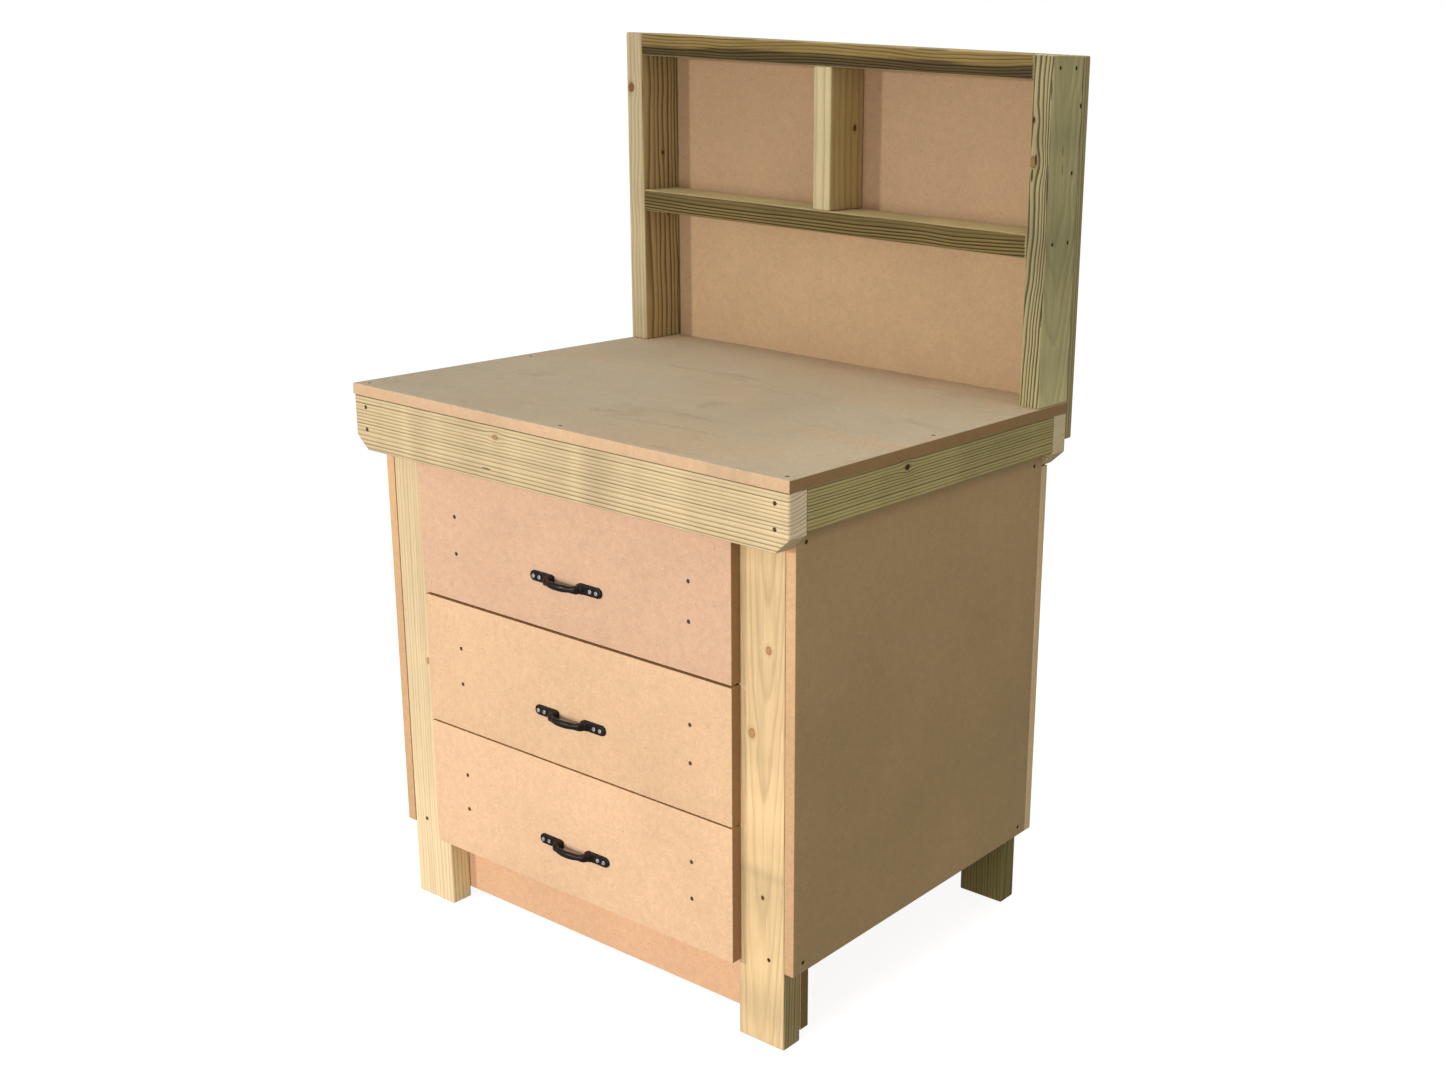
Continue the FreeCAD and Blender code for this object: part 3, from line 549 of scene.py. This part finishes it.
def timber_material():
    """Pressure-treated softwood: pale early wood with darker, yellow-green late wood."""
    n = Nodes("treated_timber")
    grain = n.attribute("grain")
    ring = n.attribute("ring", "Fac")
    lines = n.attribute("lines", "Fac")
    end, eased, mark = n.parts(n.attribute("face"))
    distance, kind, _ = n.parts(n.attribute("knot"))
    fibre_space = n.vector("MULTIPLY", grain, (9.0, 420.0, 420.0))
    fibre = n.noise(fibre_space, 1.0, 4.0, 0.6)
    streak_space = n.vector("MULTIPLY", grain, (2.2, 70.0, 70.0))
    streak = n.noise(streak_space, 1.0, 3.0, 0.6)
    cloud = n.noise(n.vector("MULTIPLY", grain, (3.0, 9.0, 9.0)), 1.0, 2.0)
    speck = n.noise(grain, 900.0, 2.0, 0.7)
    jitter = n.math("MULTIPLY", n.math("SUBTRACT", fibre, 0.5), 0.16)
    ring = n.math("ADD", ring, jitter)
    part = n.math("FRACT", ring)
    each = n.node("ShaderNodeTexWhiteNoise", {"W": n.math("FLOOR", ring)}, noise_dimensions="1D")
    strong = n.math("MULTIPLY_ADD", each.outputs["Value"], 0.7, 0.65)
    late = n.ramp(part, [(0.0, 0.25), (0.08, 0.0), (0.55, 0.1), (0.8, 0.7), (0.91, 1.0), (1.0, 0.35)])
    weight = n.math("MULTIPLY", n.math("MULTIPLY_ADD", streak, 0.9, 0.55), lines)
    weight = n.math("MULTIPLY", weight, strong)
    late = n.math("MULTIPLY", late, weight, clamp=True)
    early = n.mix(cloud, (0.70, 0.545, 0.31), (0.64, 0.52, 0.29))
    colour = n.mix(late, early, (0.155, 0.115, 0.045))
    hair = n.noise(n.vector("MULTIPLY", grain, (26.0, 1300.0, 1300.0)), 1.0, 2.0, 0.6)
    colour = n.mix(1.0, colour, n.ramp(hair, [(0.3, 0.91), (0.5, 1.0), (0.7, 1.06)]), "MULTIPLY")
    streaks = n.ramp(streak, [(0.25, 0.86), (0.5, 1.0), (0.75, 1.07)])
    colour = n.mix(1.0, colour, streaks, "MULTIPLY")
    fibres = n.ramp(fibre, [(0.2, 0.90), (0.55, 1.0), (0.8, 1.06)])
    colour = n.mix(1.0, colour, fibres, "MULTIPLY")
    # End grain is paler, with open pores between its rings.
    end_colour = n.mix(late, (0.86, 0.72, 0.46), (0.36, 0.27, 0.14))
    end_colour = n.mix(1.0, end_colour, n.ramp(speck, [(0.3, 0.85), (0.7, 1.06)]), "MULTIPLY")
    colour = n.mix(end, colour, end_colour)
    # A knot has rings of its own, a dark rim and a warm halo.
    wobble = n.math("MULTIPLY", n.math("SUBTRACT", n.noise(grain, 140.0, 2.0), 0.5), 0.5)
    distance = n.math("ADD", distance, wobble)
    knot = n.ramp(distance, [(0.82, 1.0), (1.0, 0.0)])
    turns = n.math("FRACT", n.math("MULTIPLY", distance, 3.4))
    rings = n.ramp(turns, [(0.0, 0.0), (0.7, 0.7), (0.85, 1.0), (1.0, 0.0)])
    pale = n.mix(rings, (0.56, 0.36, 0.16), (0.22, 0.12, 0.045))
    red = n.mix(rings, (0.34, 0.15, 0.055), (0.15, 0.065, 0.026))
    heart = n.mix(n.ramp(kind, [(0.1, 0.0), (0.35, 1.0)]), pale, red)
    heart = n.mix(n.ramp(kind, [(0.45, 0.0), (0.95, 0.8)]), heart, (0.035, 0.024, 0.016))
    half_far = n.math("MULTIPLY", distance, 0.25)
    halo = n.ramp(half_far, [(0.2, 0.4), (0.5, 0.0)])
    colour = n.mix(halo, colour, (0.34, 0.21, 0.09))
    colour = n.mix(knot, colour, heart)
    rim = n.ramp(half_far, [(0.205, 0.0), (0.235, 0.75), (0.27, 0.0)])
    colour = n.mix(rim, colour, (0.13, 0.075, 0.035))
    colour = n.mix(1.0, colour, n.attribute("tint"), "MULTIPLY")
    # Eased edges are painted darker, as shade where boards meet, and are rubbed paler in places. Screw pits
    # are painted dark inside, as shade, and open pockets dark, as shade and bark.
    colour = n.mix(n.math("MULTIPLY", eased, 0.3), colour, (0.16, 0.125, 0.065))
    wear = n.math("MULTIPLY", eased, n.ramp(streak, [(0.48, 0.0), (0.62, 0.3)]))
    colour = n.mix(wear, colour, (0.66, 0.53, 0.31))
    colour = n.mix(n.ramp(mark, [(0.2, 0.0), (0.8, 0.92)]), colour, (0.045, 0.028, 0.014))
    roughness = n.ramp(n.math("SUBTRACT", fibre, n.math("MULTIPLY", late, 0.25)), [(0.1, 0.58), (0.7, 0.82)])
    height = n.math("SUBTRACT", n.math("MULTIPLY", fibre, 0.5), n.math("MULTIPLY", late, 0.6))
    normal = n.bump(height, 0.75, 0.0007)
    return n.finish(colour, roughness, normal, Specular_IOR_Level=0.15)


def mdf_material(name, face, cut, worn=None):
    """Sanded fibreboard: faint mottling, fine fibres and a few pale or dark flecks."""
    n = Nodes(name)
    place = n.place()
    cut_edge, eased, mark = n.parts(n.attribute("face"))
    broad = n.noise(place, 5.0, 3.0)
    mottle = n.noise(place, 75.0, 3.0, 0.6)
    fibre = n.noise(place, 620.0, 3.0, 0.7, 1.2)
    grit = n.noise(place, 210.0, 2.0, 0.6)
    flecks = n.node("ShaderNodeTexVoronoi", {"Vector": place, "Scale": 140.0, "Randomness": 1.0})
    if worn:
        patches = n.noise(n.vector("MULTIPLY", place, (1.6, 3.4, 1.0)), 1.0, 4.0, 0.6, 1.0)
        face_colour = n.mix(n.ramp(patches, [(0.4, 0.0), (0.62, 1.0)]), face, worn)
        colour = n.mix(cut_edge, face_colour, cut)
    else:
        colour = n.mix(cut_edge, face, cut)
    for value, change in ((broad, 0.05), (mottle, 0.05), (grit, 0.05), (fibre, 0.12)):
        spread = n.ramp(value, [(0.3, 1 - change), (0.7, 1 + change)])
        colour = n.mix(1.0, colour, spread, "MULTIPLY")
    chosen = n.parts(flecks.outputs["Color"])[0]
    near = n.ramp(flecks.outputs["Distance"], [(0.10, 1.0), (0.26, 0.0)])
    pale = n.math("MULTIPLY", near, n.ramp(chosen, [(0.90, 0.0), (0.92, 0.4)]))
    dark_fleck = n.math("MULTIPLY", near, n.ramp(chosen, [(0.06, 0.4), (0.08, 0.0)]))
    colour = n.mix(pale, colour, tuple(min(1.0, c * 1.5) for c in face))
    colour = n.mix(dark_fleck, colour, tuple(c * 0.35 for c in face))
    if worn:
        smear = n.noise(n.vector("MULTIPLY", place, (5.0, 16.0, 1.0)), 1.0, 4.0, 0.65, 0.8)
        smear = n.ramp(smear, [(0.58, 0.0), (0.72, 0.4)])
        colour = n.mix(smear, colour, tuple(c * 0.62 for c in worn))
    # Painted shade and painted light from the board's attribute darken or lighten the colour.
    shading_factor = n.vector("SUBTRACT", (1, 1, 1), n.attribute("painted_shading"))
    colour = n.mix(1.0, colour, shading_factor, "MULTIPLY")
    # Eased edges are painted darker and screw pits dark inside, as painted shade.
    colour = n.mix(n.math("MULTIPLY", eased, 0.25), colour, tuple(c * 0.75 for c in face))
    colour = n.mix(n.ramp(mark, [(0.2, 0.0), (0.8, 0.92)]), colour, (0.05, 0.028, 0.014))
    height = n.math("ADD", n.math("MULTIPLY", fibre, 0.6), n.math("MULTIPLY", mottle, 0.4))
    roughness = n.ramp(height, [(0.35, 0.62), (0.65, 0.82)])
    normal = n.bump(height, 0.25, 0.0003)
    return n.finish(colour, roughness, normal, Specular_IOR_Level=0.3)


def iron_material():
    """Cast iron in black lacquer, a little worn where it is held."""
    n = Nodes("black_iron")
    place = n.place()
    pits = n.noise(place, 750.0, 3.0, 0.6)
    patches = n.noise(place, 60.0, 3.0, 0.6)
    colour = n.mix(patches, (0.005, 0.0035, 0.0025), (0.011, 0.007, 0.005))
    rub = n.ramp(n.noise(place, 240.0, 4.0, 0.7), [(0.62, 0.0), (0.75, 0.3)])
    colour = n.mix(rub, colour, (0.035, 0.022, 0.015))
    roughness = n.ramp(patches, [(0.3, 0.30), (0.7, 0.44)])
    normal = n.bump(pits, 0.3, 0.0002)
    return n.finish(colour, roughness, normal, Specular_IOR_Level=0.22)


def metal_material(name, dark, light, rough, dull=0.0):
    """Plated or bare steel with spangle, handling marks and dull patches."""
    n = Nodes(name)
    place = n.place()
    spangle = n.node("ShaderNodeTexVoronoi", {"Vector": place, "Scale": 260.0})
    patches = n.noise(place, 40.0, 4.0, 0.6)
    scratch = n.noise(n.vector("MULTIPLY", place, (900.0, 40.0, 900.0)), 1.0, 3.0)
    mixed = n.math("MULTIPLY_ADD", spangle.outputs["Distance"], 0.4, n.math("MULTIPLY", patches, 0.7))
    colour = n.mix(n.ramp(mixed, [(0.25, 0.0), (0.75, 1.0)]), dark, light)
    worn = n.math("ADD", n.math("MULTIPLY", patches, 0.6), n.math("MULTIPLY", scratch, 0.4))
    roughness = n.ramp(worn, [(0.3, rough), (0.7, rough + 0.18)])
    normal = n.bump(scratch, 0.12, 0.0001)
    level = 0.5 - 0.5 * dull
    return n.finish(colour, roughness, normal, Metallic=1.0 - dull, Specular_IOR_Level=level)


MDF_FACE = (0.62, 0.405, 0.235)
MDF_CUT = (0.56, 0.345, 0.185)
MATERIALS = {
    "timber": timber_material(),
    "mdf": mdf_material("mdf", MDF_FACE, MDF_CUT),
    # The three drawer fronts are lit and shaded copies of one MDF, painted lighter the lower the drawer, as
    # light is stronger lower down; their dark cut colour is painted shade, as on their right edges.
    "mdf_top_front": mdf_material("mdf_top_front", (0.575, 0.355, 0.222), (0.30, 0.165, 0.065)),
    "mdf_middle_front": mdf_material("mdf_middle_front", (0.635, 0.405, 0.232), (0.30, 0.165, 0.065)),
    "mdf_bottom_front": mdf_material("mdf_bottom_front", (0.68, 0.43, 0.252), (0.31, 0.17, 0.07)),
    # The kick board's dark cut colour is painted shade, as on its right end.
    "mdf_kick": mdf_material("mdf_kick_board", (0.68, 0.39, 0.215), (0.26, 0.165, 0.06)),
    # The worktop's greyer face colour is partly a painted cool sheen on its top.
    "mdf_worktop": mdf_material(
        "mdf_worktop", (0.475, 0.39, 0.265), (0.55, 0.355, 0.205), (0.50, 0.375, 0.235)
    ),
    # The side panels' face colour is darker than the other MDF, as painted shade.
    "mdf_side": mdf_material("mdf_side_panel", (0.395, 0.262, 0.118), (0.56, 0.33, 0.165)),
    # The shelf unit's back is darker than the other MDF, as painted shade in the recess.
    "mdf_back": mdf_material("mdf_shelf_back", (0.355, 0.22, 0.117), (0.36, 0.22, 0.12)),
    "iron": iron_material(),
    "zinc": metal_material("zinc_steel", (0.42, 0.43, 0.44), (0.66, 0.67, 0.68), 0.28),
    "screw_bright": metal_material("screw_bright", (0.24, 0.235, 0.225), (0.44, 0.43, 0.41), 0.42),
    # Sunk screw heads are painted dark brown and dull, as shade in their pits.
    "screw_painted_shade": metal_material("screw_painted_shade", (0.045, 0.022, 0.010), (0.10, 0.055, 0.028), 0.7, 0.9),
}


# ----------------------------------------------------------- timber boards
# Each look gives, in mm where it is a length:
#   pith: the place of the tree's centre across and through the board
#   lean: how far the pith moves across and through per mm of length
#   rings, wander, ripple: ring spacing, and how much rings stray and waver
#   lines, relief: how dark the late wood is, and how deep its grooves are
#   tint, fade: colour factor, and its factors at the low and the high end
#   figure, bands: strength of cross patches, and (along, reach, factor) of some
#   low_band: height, factor and line strength of a darker or paler lower part
#   edge: tint and lines of the narrow faces, where they differ
#   knots: (along, offset, radius, kind, face)
#   dents: (along, offset, half length, half width, depth, face)
#   step, along: mesh spacing across and along; clip: the cut lower corners
# Places are measured from the board's lowest corner, and pith from its middle.
EASED = 3.0
CLIP = (25.0, 23.0)
TIMBER = {
    # Painted light and shade on the front legs: both are painted lighter towards the floor, where the light
    # is stronger; the left leg's narrow faces are painted lighter, as lit, and the right leg's narrow faces
    # darker, as shade.
    "front_leg_left": {
        "pith": (70, -60), "rings": 6, "lines": 0.30, "tint": (0.94, 0.89, 0.92), "fade": (1.27, 0.95),
        "edge": {"tint": (1.06, 1.06, 0.98), "lines": 0.35},
        "knots": [(439, 57, 4, "pale", "wide")],
    },
    "front_leg_right": {
        "pith": (6, -72), "lean": (0.02, 0.03), "rings": 5, "lines": 0.23,
        "tint": (1.12, 0.98, 0.91), "fade": (0.96, 0.82), "figure": 0.07,
        "bands": [(284, 7, 0.84), (250, 32, 0.9), (390, 80, 1.17), (700, 50, 0.95)],
        "edge": {"tint": (0.62, 0.60, 0.48), "lines": 0.8},
        "knots": [
            (633, 58, 5, "pale", "wide"), (500, 26, 6, "pale", "wide"), (243, 47, 3, "dark", "wide"),
        ],
    },
    # The rear legs' dark tint is painted shade, as they stand in shade under the worktop.
    "rear_leg_left": {"pith": (60, 40), "rings": 5, "lines": 0.6, "tint": (0.31, 0.31, 0.18)},
    "rear_leg_right": {
        "pith": (-70, 30), "rings": 5, "lines": 0.7, "tint": (0.31, 0.31, 0.18),
        "knots": [(520, 20, 7, "dark", "edge")],
    },
    "front_rail": {
        "pith": (150, -24), "rings": 5.9, "lines": 0.78, "relief": 0.22, "step": 0.75, "along": 9,
        "tint": (0.91, 0.87, 0.88), "fade": (0.87, 1.06), "clip": CLIP, "wander": 0.3, "figure": 0.07,
        "bands": [
            (60, 9, 0.94), (122, 10, 1.08), (160, 14, 0.93), (200, 12, 1.08), (262, 16, 0.94),
            (502, 15, 1.14), (548, 30, 0.88), (612, 10, 1.05), (705, 20, 1.07), (790, 12, 0.94),
        ],
        "knots": [(330, 71, 4, "pale", "wide")],
        "dents": [(307, 19, 11, 1.1, 0.6, "wide")],
    },
    "back_rail": {
        "pith": (-80, 30), "rings": 4.5, "lines": 0.6, "clip": CLIP, "relief": 0.2,
        "tint": (0.8, 0.8, 0.72),
    },
    "side_rail_left": {"pith": (60, 30), "rings": 4.5, "lines": 0.6, "tint": (0.75, 0.78, 0.6)},
    "side_rail_right": {
        "pith": (80, 34), "rings": 4.8, "lines": 0.85, "relief": 0.3, "step": 0.9, "wander": 0.5,
        "tint": (0.72, 0.735, 0.52), "fade": (1.04, 0.86), "figure": 0.09,
        "knots": [(224, 51, 4.5, "dark", "wide")],
    },
    "upright_left": {
        "pith": (-70, -70), "rings": 8.0, "lines": 0.9, "tint": (0.61, 0.54, 0.43), "wander": 3.0,
        "step": 1.1, "relief": 0.2, "edge": {"tint": (0.65, 0.65, 0.66), "lines": 0.4},
        "knots": [(455, 11, 7, "red", "edge"), (230, 62, 3, "dark", "wide"), (340, 50, 3, "dark", "wide")],
    },
    "upright_right": {
        "pith": (-10, -70), "lean": (0.03, 0.05), "rings": 6.2, "lines": 0.17, "relief": 0.7,
        "step": 0.7, "along": 6, "wander": 3.0, "ripple": 1.3, "tint": (0.70, 0.78, 0.65),
        "fade": (1.08, 0.95), "edge": {"tint": (0.53, 0.553, 0.49), "lines": 1.7},
        "bands": [(0, 50, 1.15), (260, 70, 0.77), (430, 30, 0.88)],
        "knots": [
            (371, 68, 3, "dark", "wide"), (474, 85, 3, "dark", "wide"),
            (388, 8, 7, "pale", "edge"), (452, 4, 4, "dark", "edge"),
        ],
        "dents": [
            (392, 12, 9, 2.0, 1.6, "edge"), (368, 6, 12, 2.0, 1.8, "edge"),
            (407, 38, 8, 1.5, 1.2, "wide"), (379, 39, 10, 1.3, 1.2, "wide"),
            (498, 35.5, 17, 1.3, 0.5, "edge"), (355, 35, 38, 1.4, 0.6, "edge"),
            (159, 35.5, 28, 1.2, 0.5, "edge"),
        ],
    },
    "shelf_divider": {
        "pith": (90, -90), "rings": 9, "lines": 0.3, "tint": (0.65, 0.59, 0.445), "wander": 1.5,
        "edge": {"tint": (0.68, 0.69, 0.68), "lines": 0.3},
        "knots": [(136, 65, 4.5, "brown", "wide")],
        "dents": [(9, 60, 8, 0.7, 0.8, "wide")],
    },
    "top_rail": {
        "pith": (-90, 60), "rings": 3.9, "lines": 0.8, "relief": 0.4, "step": 0.8,
        "wander": 1.8, "tint": (0.66, 0.66, 0.52), "low_band": (-1, 0.34, 2.2), "figure": 0.08,
        "edge": {"tint": (0.335, 0.282, 0.162), "lines": 0.75},
    },
    "shelf": {
        "pith": (-80, 60), "rings": 4.8, "lines": 0.6, "relief": 0.4, "step": 0.8,
        "wander": 2.4, "tint": (0.73, 0.72, 0.60), "low_band": (4, 1.35, 2.2), "figure": 0.08,
        "edge": {"tint": (0.197, 0.17, 0.098), "lines": 0.9},
    },
    "back_batten_left": {"pith": (30, 30), "rings": 5, "lines": 0.7, "tint": (0.55, 0.57, 0.47)},
    "back_batten_right": {"pith": (30, 30), "rings": 5, "lines": 0.7, "tint": (0.60, 0.62, 0.50)},
}
for seed, (node, look) in enumerate(TIMBER.items()):
    timber(node, look, seed * 10 + 3)

# -------------------------------------------------------------- MDF boards
MDF = {
    "worktop": "mdf_worktop",
    "side_panel_left": "mdf_side",
    "side_panel_right": "mdf_side",
    "cabinet_back_panel": "mdf",
    "kick_board": "mdf_kick",
    "shelf_back_panel": "mdf_back",
    **{drawer + "_drawer_front": "mdf_" + drawer + "_front" for drawer in DRAWERS},
}
# The shelf unit's back has blunt edges, which leave a groove by the uprights, darkened with painted shade by
# the eased-edge darkening.
BLUNT = {"shelf_back_panel": 2.4}
for node, material in MDF.items():
    fibreboard(node, material, BLUNT.get(node, 0.8))


# ------------------------------------- drawer boxes, their slides and screws
def keep_shape(node, material):
    """Gives a part that keeps its CAD shape its material."""
    slots = frame["nodes"][node].data.materials
    slots.clear()
    slots.append(MATERIALS[material])


for drawer in DRAWERS:
    for part in ("side_left", "side_right", "inner_front", "back", "base"):
        keep_shape(f"{drawer}_drawer_{part}", "mdf")
    for part in ("outers", "middles", "inners"):
        keep_shape(f"{drawer}_slide_{part}", "zinc")


def screw_group(node, screws):
    """One piece with all the screws of a CAD node."""
    points, faces, kinds = [], [], []
    for screw in screws:
        screw_mesh(screw, points, faces, kinds)
    materials = [MATERIALS["screw_bright"], MATERIALS["screw_painted_shade"]]
    piece = new_piece("steel_" + node, points, faces, materials, BODY_OF[node], [node])
    piece.data.polygons.foreach_set("material_index", kinds)


for node, screws in SCREWS.items():
    screw_group(node, screws)


# ------------------------------------------------------------------ handles
def ring_of(centre, side, up, wide, tall, power, count=28):
    """A closed loop of points round a centre, from an oval to a rounded square."""
    angles = np.linspace(0, 2 * math.pi, count, endpoint=False)
    cosine, sine = np.cos(angles), np.sin(angles)
    x = np.sign(cosine) * np.abs(cosine) ** (2 / power) * wide
    y = np.sign(sine) * np.abs(sine) ** (2 / power) * tall
    return centre + np.outer(x, side) + np.outer(y, up)


def loft(loops, points, faces):
    """Joins loops of equal length into a closed skin with flat ends."""
    start, count = len(points), len(loops[0])
    for loop in loops:
        points.extend(loop)
    for row in range(len(loops) - 1):
        for k in range(count):
            a, b = start + row * count + k, start + row * count + (k + 1) % count
            faces.append((a, b, b + count, a + count))
    last = start + (len(loops) - 1) * count
    faces.append(tuple(start + k for k in reversed(range(count))))
    faces.append(tuple(last + k for k in range(count)))


def handle_plate(sign, points, faces):
    """One end plate with a round outer end and a soft upper edge."""
    inner, outer, half = 30.0, 76.5, 8.5
    outline = [(inner, -half), (inner, half)]
    for angle in np.linspace(90, -90, 25):
        turn = math.radians(angle)
        outline.append((outer - half + half * math.cos(turn), half * math.sin(turn)))
    outline = np.array(outline)
    loops = []
    # Each row is a height above the seat, and how far the edge has drawn in.
    for height, inset in ((0, 0), (2.2, 0), (3.0, 0.25), (3.6, 0.8), (4.0, 1.8)):
        middle = np.array([(inner + outer) / 2, 0])
        span = np.array([(outer - inner) / 2, half])
        loop = middle + (outline - middle) * (span - inset) / span
        flat = np.stack([loop[:, 0] * sign, np.full(len(loop), -height), loop[:, 1]], 1)
        loops.append(flat[::-1] if sign > 0 else flat)
    loft([np.array(loop) for loop in loops], points, faces)


def bow_points():
    """The grip's centre line and how far along each point is from a foot."""
    crown, stand = 74.0, 19.9
    line = [(33.5, -0.5), (33.5, 2.0), (33.5, 4.5), (33.4, 7.0)]
    start, middle, end = (np.array(p) for p in ((33.4, 7.0), (33.3, 12.9), (24.5, 15.7)))
    for t in np.linspace(0.15, 1, 8):
        line.append(tuple((1 - t) ** 2 * start + 2 * t * (1 - t) * middle + t * t * end))
    for x in np.linspace(21, 0, 8):
        line.append((x, stand - crown + math.sqrt(crown * crown - x * x)))
    return np.array(line + [(-x, y) for x, y in line[-2::-1]])


def handle(drawer):
    """A cast bow handle: plates, square feet and a grip that is fuller in the middle."""
    node = drawer + "_drawer_handle"
    low, high = box(node)
    seat = np.array([(low[0] + high[0]) / 2, high[1], (low[2] + high[2]) / 2])
    sideways, upward = np.array([1.0, 0, 0]), np.array([0, 0, 1.0])
    foot_place, foot_squareness = 33.8, 4.5
    # Each row is a height above the seat, half the foot's length and half its width.
    foot_rows = ((0.5, 8.6, 7.9), (5.0, 8.2, 7.7), (7.6, 7.0, 6.8), (9.0, 5.6, 5.6))
    points, faces = [], []
    for sign in (-1, 1):
        handle_plate(sign, points, faces)
        loops = []
        for height, reach, half in foot_rows:
            centre = np.array([sign * foot_place, -height, 0.0])
            loops.append(ring_of(centre, sideways, upward, reach, half, foot_squareness))
        loft(loops, points, faces)
    line = bow_points()
    centres = np.stack([line[:, 0], -line[:, 1], np.zeros(len(line))], 1)
    headings = np.gradient(centres, axis=0)
    headings /= np.linalg.norm(headings, axis=1)[:, None]
    loops = []
    for centre, heading in zip(centres, headings):
        foot = float(smooth(abs(centre[0]), 22, 33))
        wide = 5.7 - 0.9 * math.exp(-(((abs(centre[0]) - 24) / 7) ** 2)) + 0.9 * foot
        tall = 4.45 - 0.25 * math.exp(-(((abs(centre[0]) - 22) / 8) ** 2)) + 0.7 * foot
        across = np.cross(heading, upward)
        loops.append(ring_of(centre, upward, across, wide, tall, 2.2 + 1.6 * foot))
    loft(loops, points, faces)
    piece = new_piece(
        "cast_" + node, np.array(points) + seat, faces, [MATERIALS["iron"]], BODY_OF[node],
        [node],
    )
    remesh = piece.modifiers.new("one_skin", "REMESH")
    remesh.mode = "VOXEL"
    remesh.voxel_size = 0.55 * MM
    remesh.use_smooth_shade = True
    soften = piece.modifiers.new("soft_corners", "SMOOTH")
    soften.factor = 0.5
    soften.iterations = 5
    return piece


for drawer in DRAWERS:
    handle(drawer)


# ------------------------------------------------------- stage and lighting
# From here on lengths are in metres.
FLOOR_GLOW = 0.88
FLOOR_REACH = 14.0
SWEEP = 8.0


def stage():
    """A pale floor that sweeps up into a wall all round, well away from the bench."""
    n = Nodes("studio_floor")
    cloth = n.noise(n.place(), 3.0, 2.0)
    colour = n.mix(cloth, (0.30, 0.30, 0.30), (0.31, 0.31, 0.31))
    rough = n.ramp(cloth, [(0.3, 0.85), (0.7, 0.9)])
    n.give(n.shader.inputs["Emission Color"], n.mix(cloth, (0.985, 0.985, 0.98), (1, 1, 1)))
    n.finish(colour, rough, n.bump(cloth, 0.02, 0.001), Emission_Strength=FLOOR_GLOW)
    # Each row is a radius and a height.
    rows = [(0.01, 0.0), (2.0, 0.0), (5.0, 0.0), (9.0, 0.0), (FLOOR_REACH, 0.0)]
    for turn in np.linspace(0.1, math.pi / 2, 12):
        rows.append((FLOOR_REACH + SWEEP * math.sin(turn), SWEEP - SWEEP * math.cos(turn)))
    rows += [(FLOOR_REACH + SWEEP, 14.0), (FLOOR_REACH + SWEEP, 20.0)]
    turns = 96
    points, faces = [], []
    for radius, height in rows:
        for k in range(turns):
            angle = 2 * math.pi * k / turns
            points.append((radius * math.cos(angle), radius * math.sin(angle), height))
    for row in range(len(rows) - 1):
        for k in range(turns):
            a, b = row * turns + k, row * turns + (k + 1) % turns
            faces.append((a, a + turns, b + turns, b))
    faces.append(tuple(range(turns)))
    mesh = bpy.data.meshes.new("studio_floor")
    mesh.from_pydata(points, [], faces)
    mesh.polygons.foreach_set("use_smooth", [True] * len(faces))
    mesh.materials.append(n.material)
    floor = bpy.data.objects.new("studio_floor", mesh)
    scene.collection.objects.link(floor)
    floor.visible_diffuse = False
    floor.visible_glossy = False
    floor.visible_shadow = False


def lamp(name, place, target, size, power):
    """A round white lamp that faces target and is hidden from the camera."""
    data = bpy.data.lights.new(name, "AREA")
    data.shape = "DISK"
    data.size = size
    data.energy = power
    thing = bpy.data.objects.new(name, data)
    scene.collection.objects.link(thing)
    thing.location = place
    thing.rotation_mode = "QUATERNION"
    thing.rotation_quaternion = (Vector(target) - Vector(place)).to_track_quat("-Z", "Y")
    thing.visible_camera = False


stage()
lamp("key", (-2.1, -4.5, 1.7), (0, 0, 0.8), 0.4, 102)
lamp("low_front", (0.5, -4.8, 1.0), (0, 0, 0.6), 2.2, 128)
lamp("overhead", (0.2, -0.4, 4.2), (0, 0, 0.9), 3.0, 57)
lamp("right_side", (4.4, -0.8, 1.3), (0, 0, 0.9), 2.0, 20)
WORLD_GLOW = 0.38
world = bpy.data.worlds.new("studio")
scene.world = world
world.use_nodes = True
world.node_tree.nodes["Background"].inputs[0].default_value = (1, 1, 1, 1)
world.node_tree.nodes["Background"].inputs[1].default_value = WORLD_GLOW
scene.view_settings.view_transform = "Standard"

CAMERA_PLACE = (1.9093, -2.05865, 1.4885)
CAMERA_AIM = Vector((-0.51730, 0.80709, -0.28463))
CAMERA_ROLL = math.radians(2.551)
SENSOR_WIDTH = 36.0
LENS = 43.17
SIDE_SHIFT = -0.2047
camera = bpy.data.objects.new("camera", bpy.data.cameras.new("camera"))
scene.collection.objects.link(camera)
camera.location = CAMERA_PLACE
camera.rotation_mode = "QUATERNION"
heading = CAMERA_AIM.to_track_quat("-Z", "Y")
camera.rotation_quaternion = heading @ Quaternion((0, 0, 1), CAMERA_ROLL)
camera.data.sensor_width = SENSOR_WIDTH
camera.data.lens = LENS
camera.data.shift_x = SIDE_SHIFT
scene.camera = camera
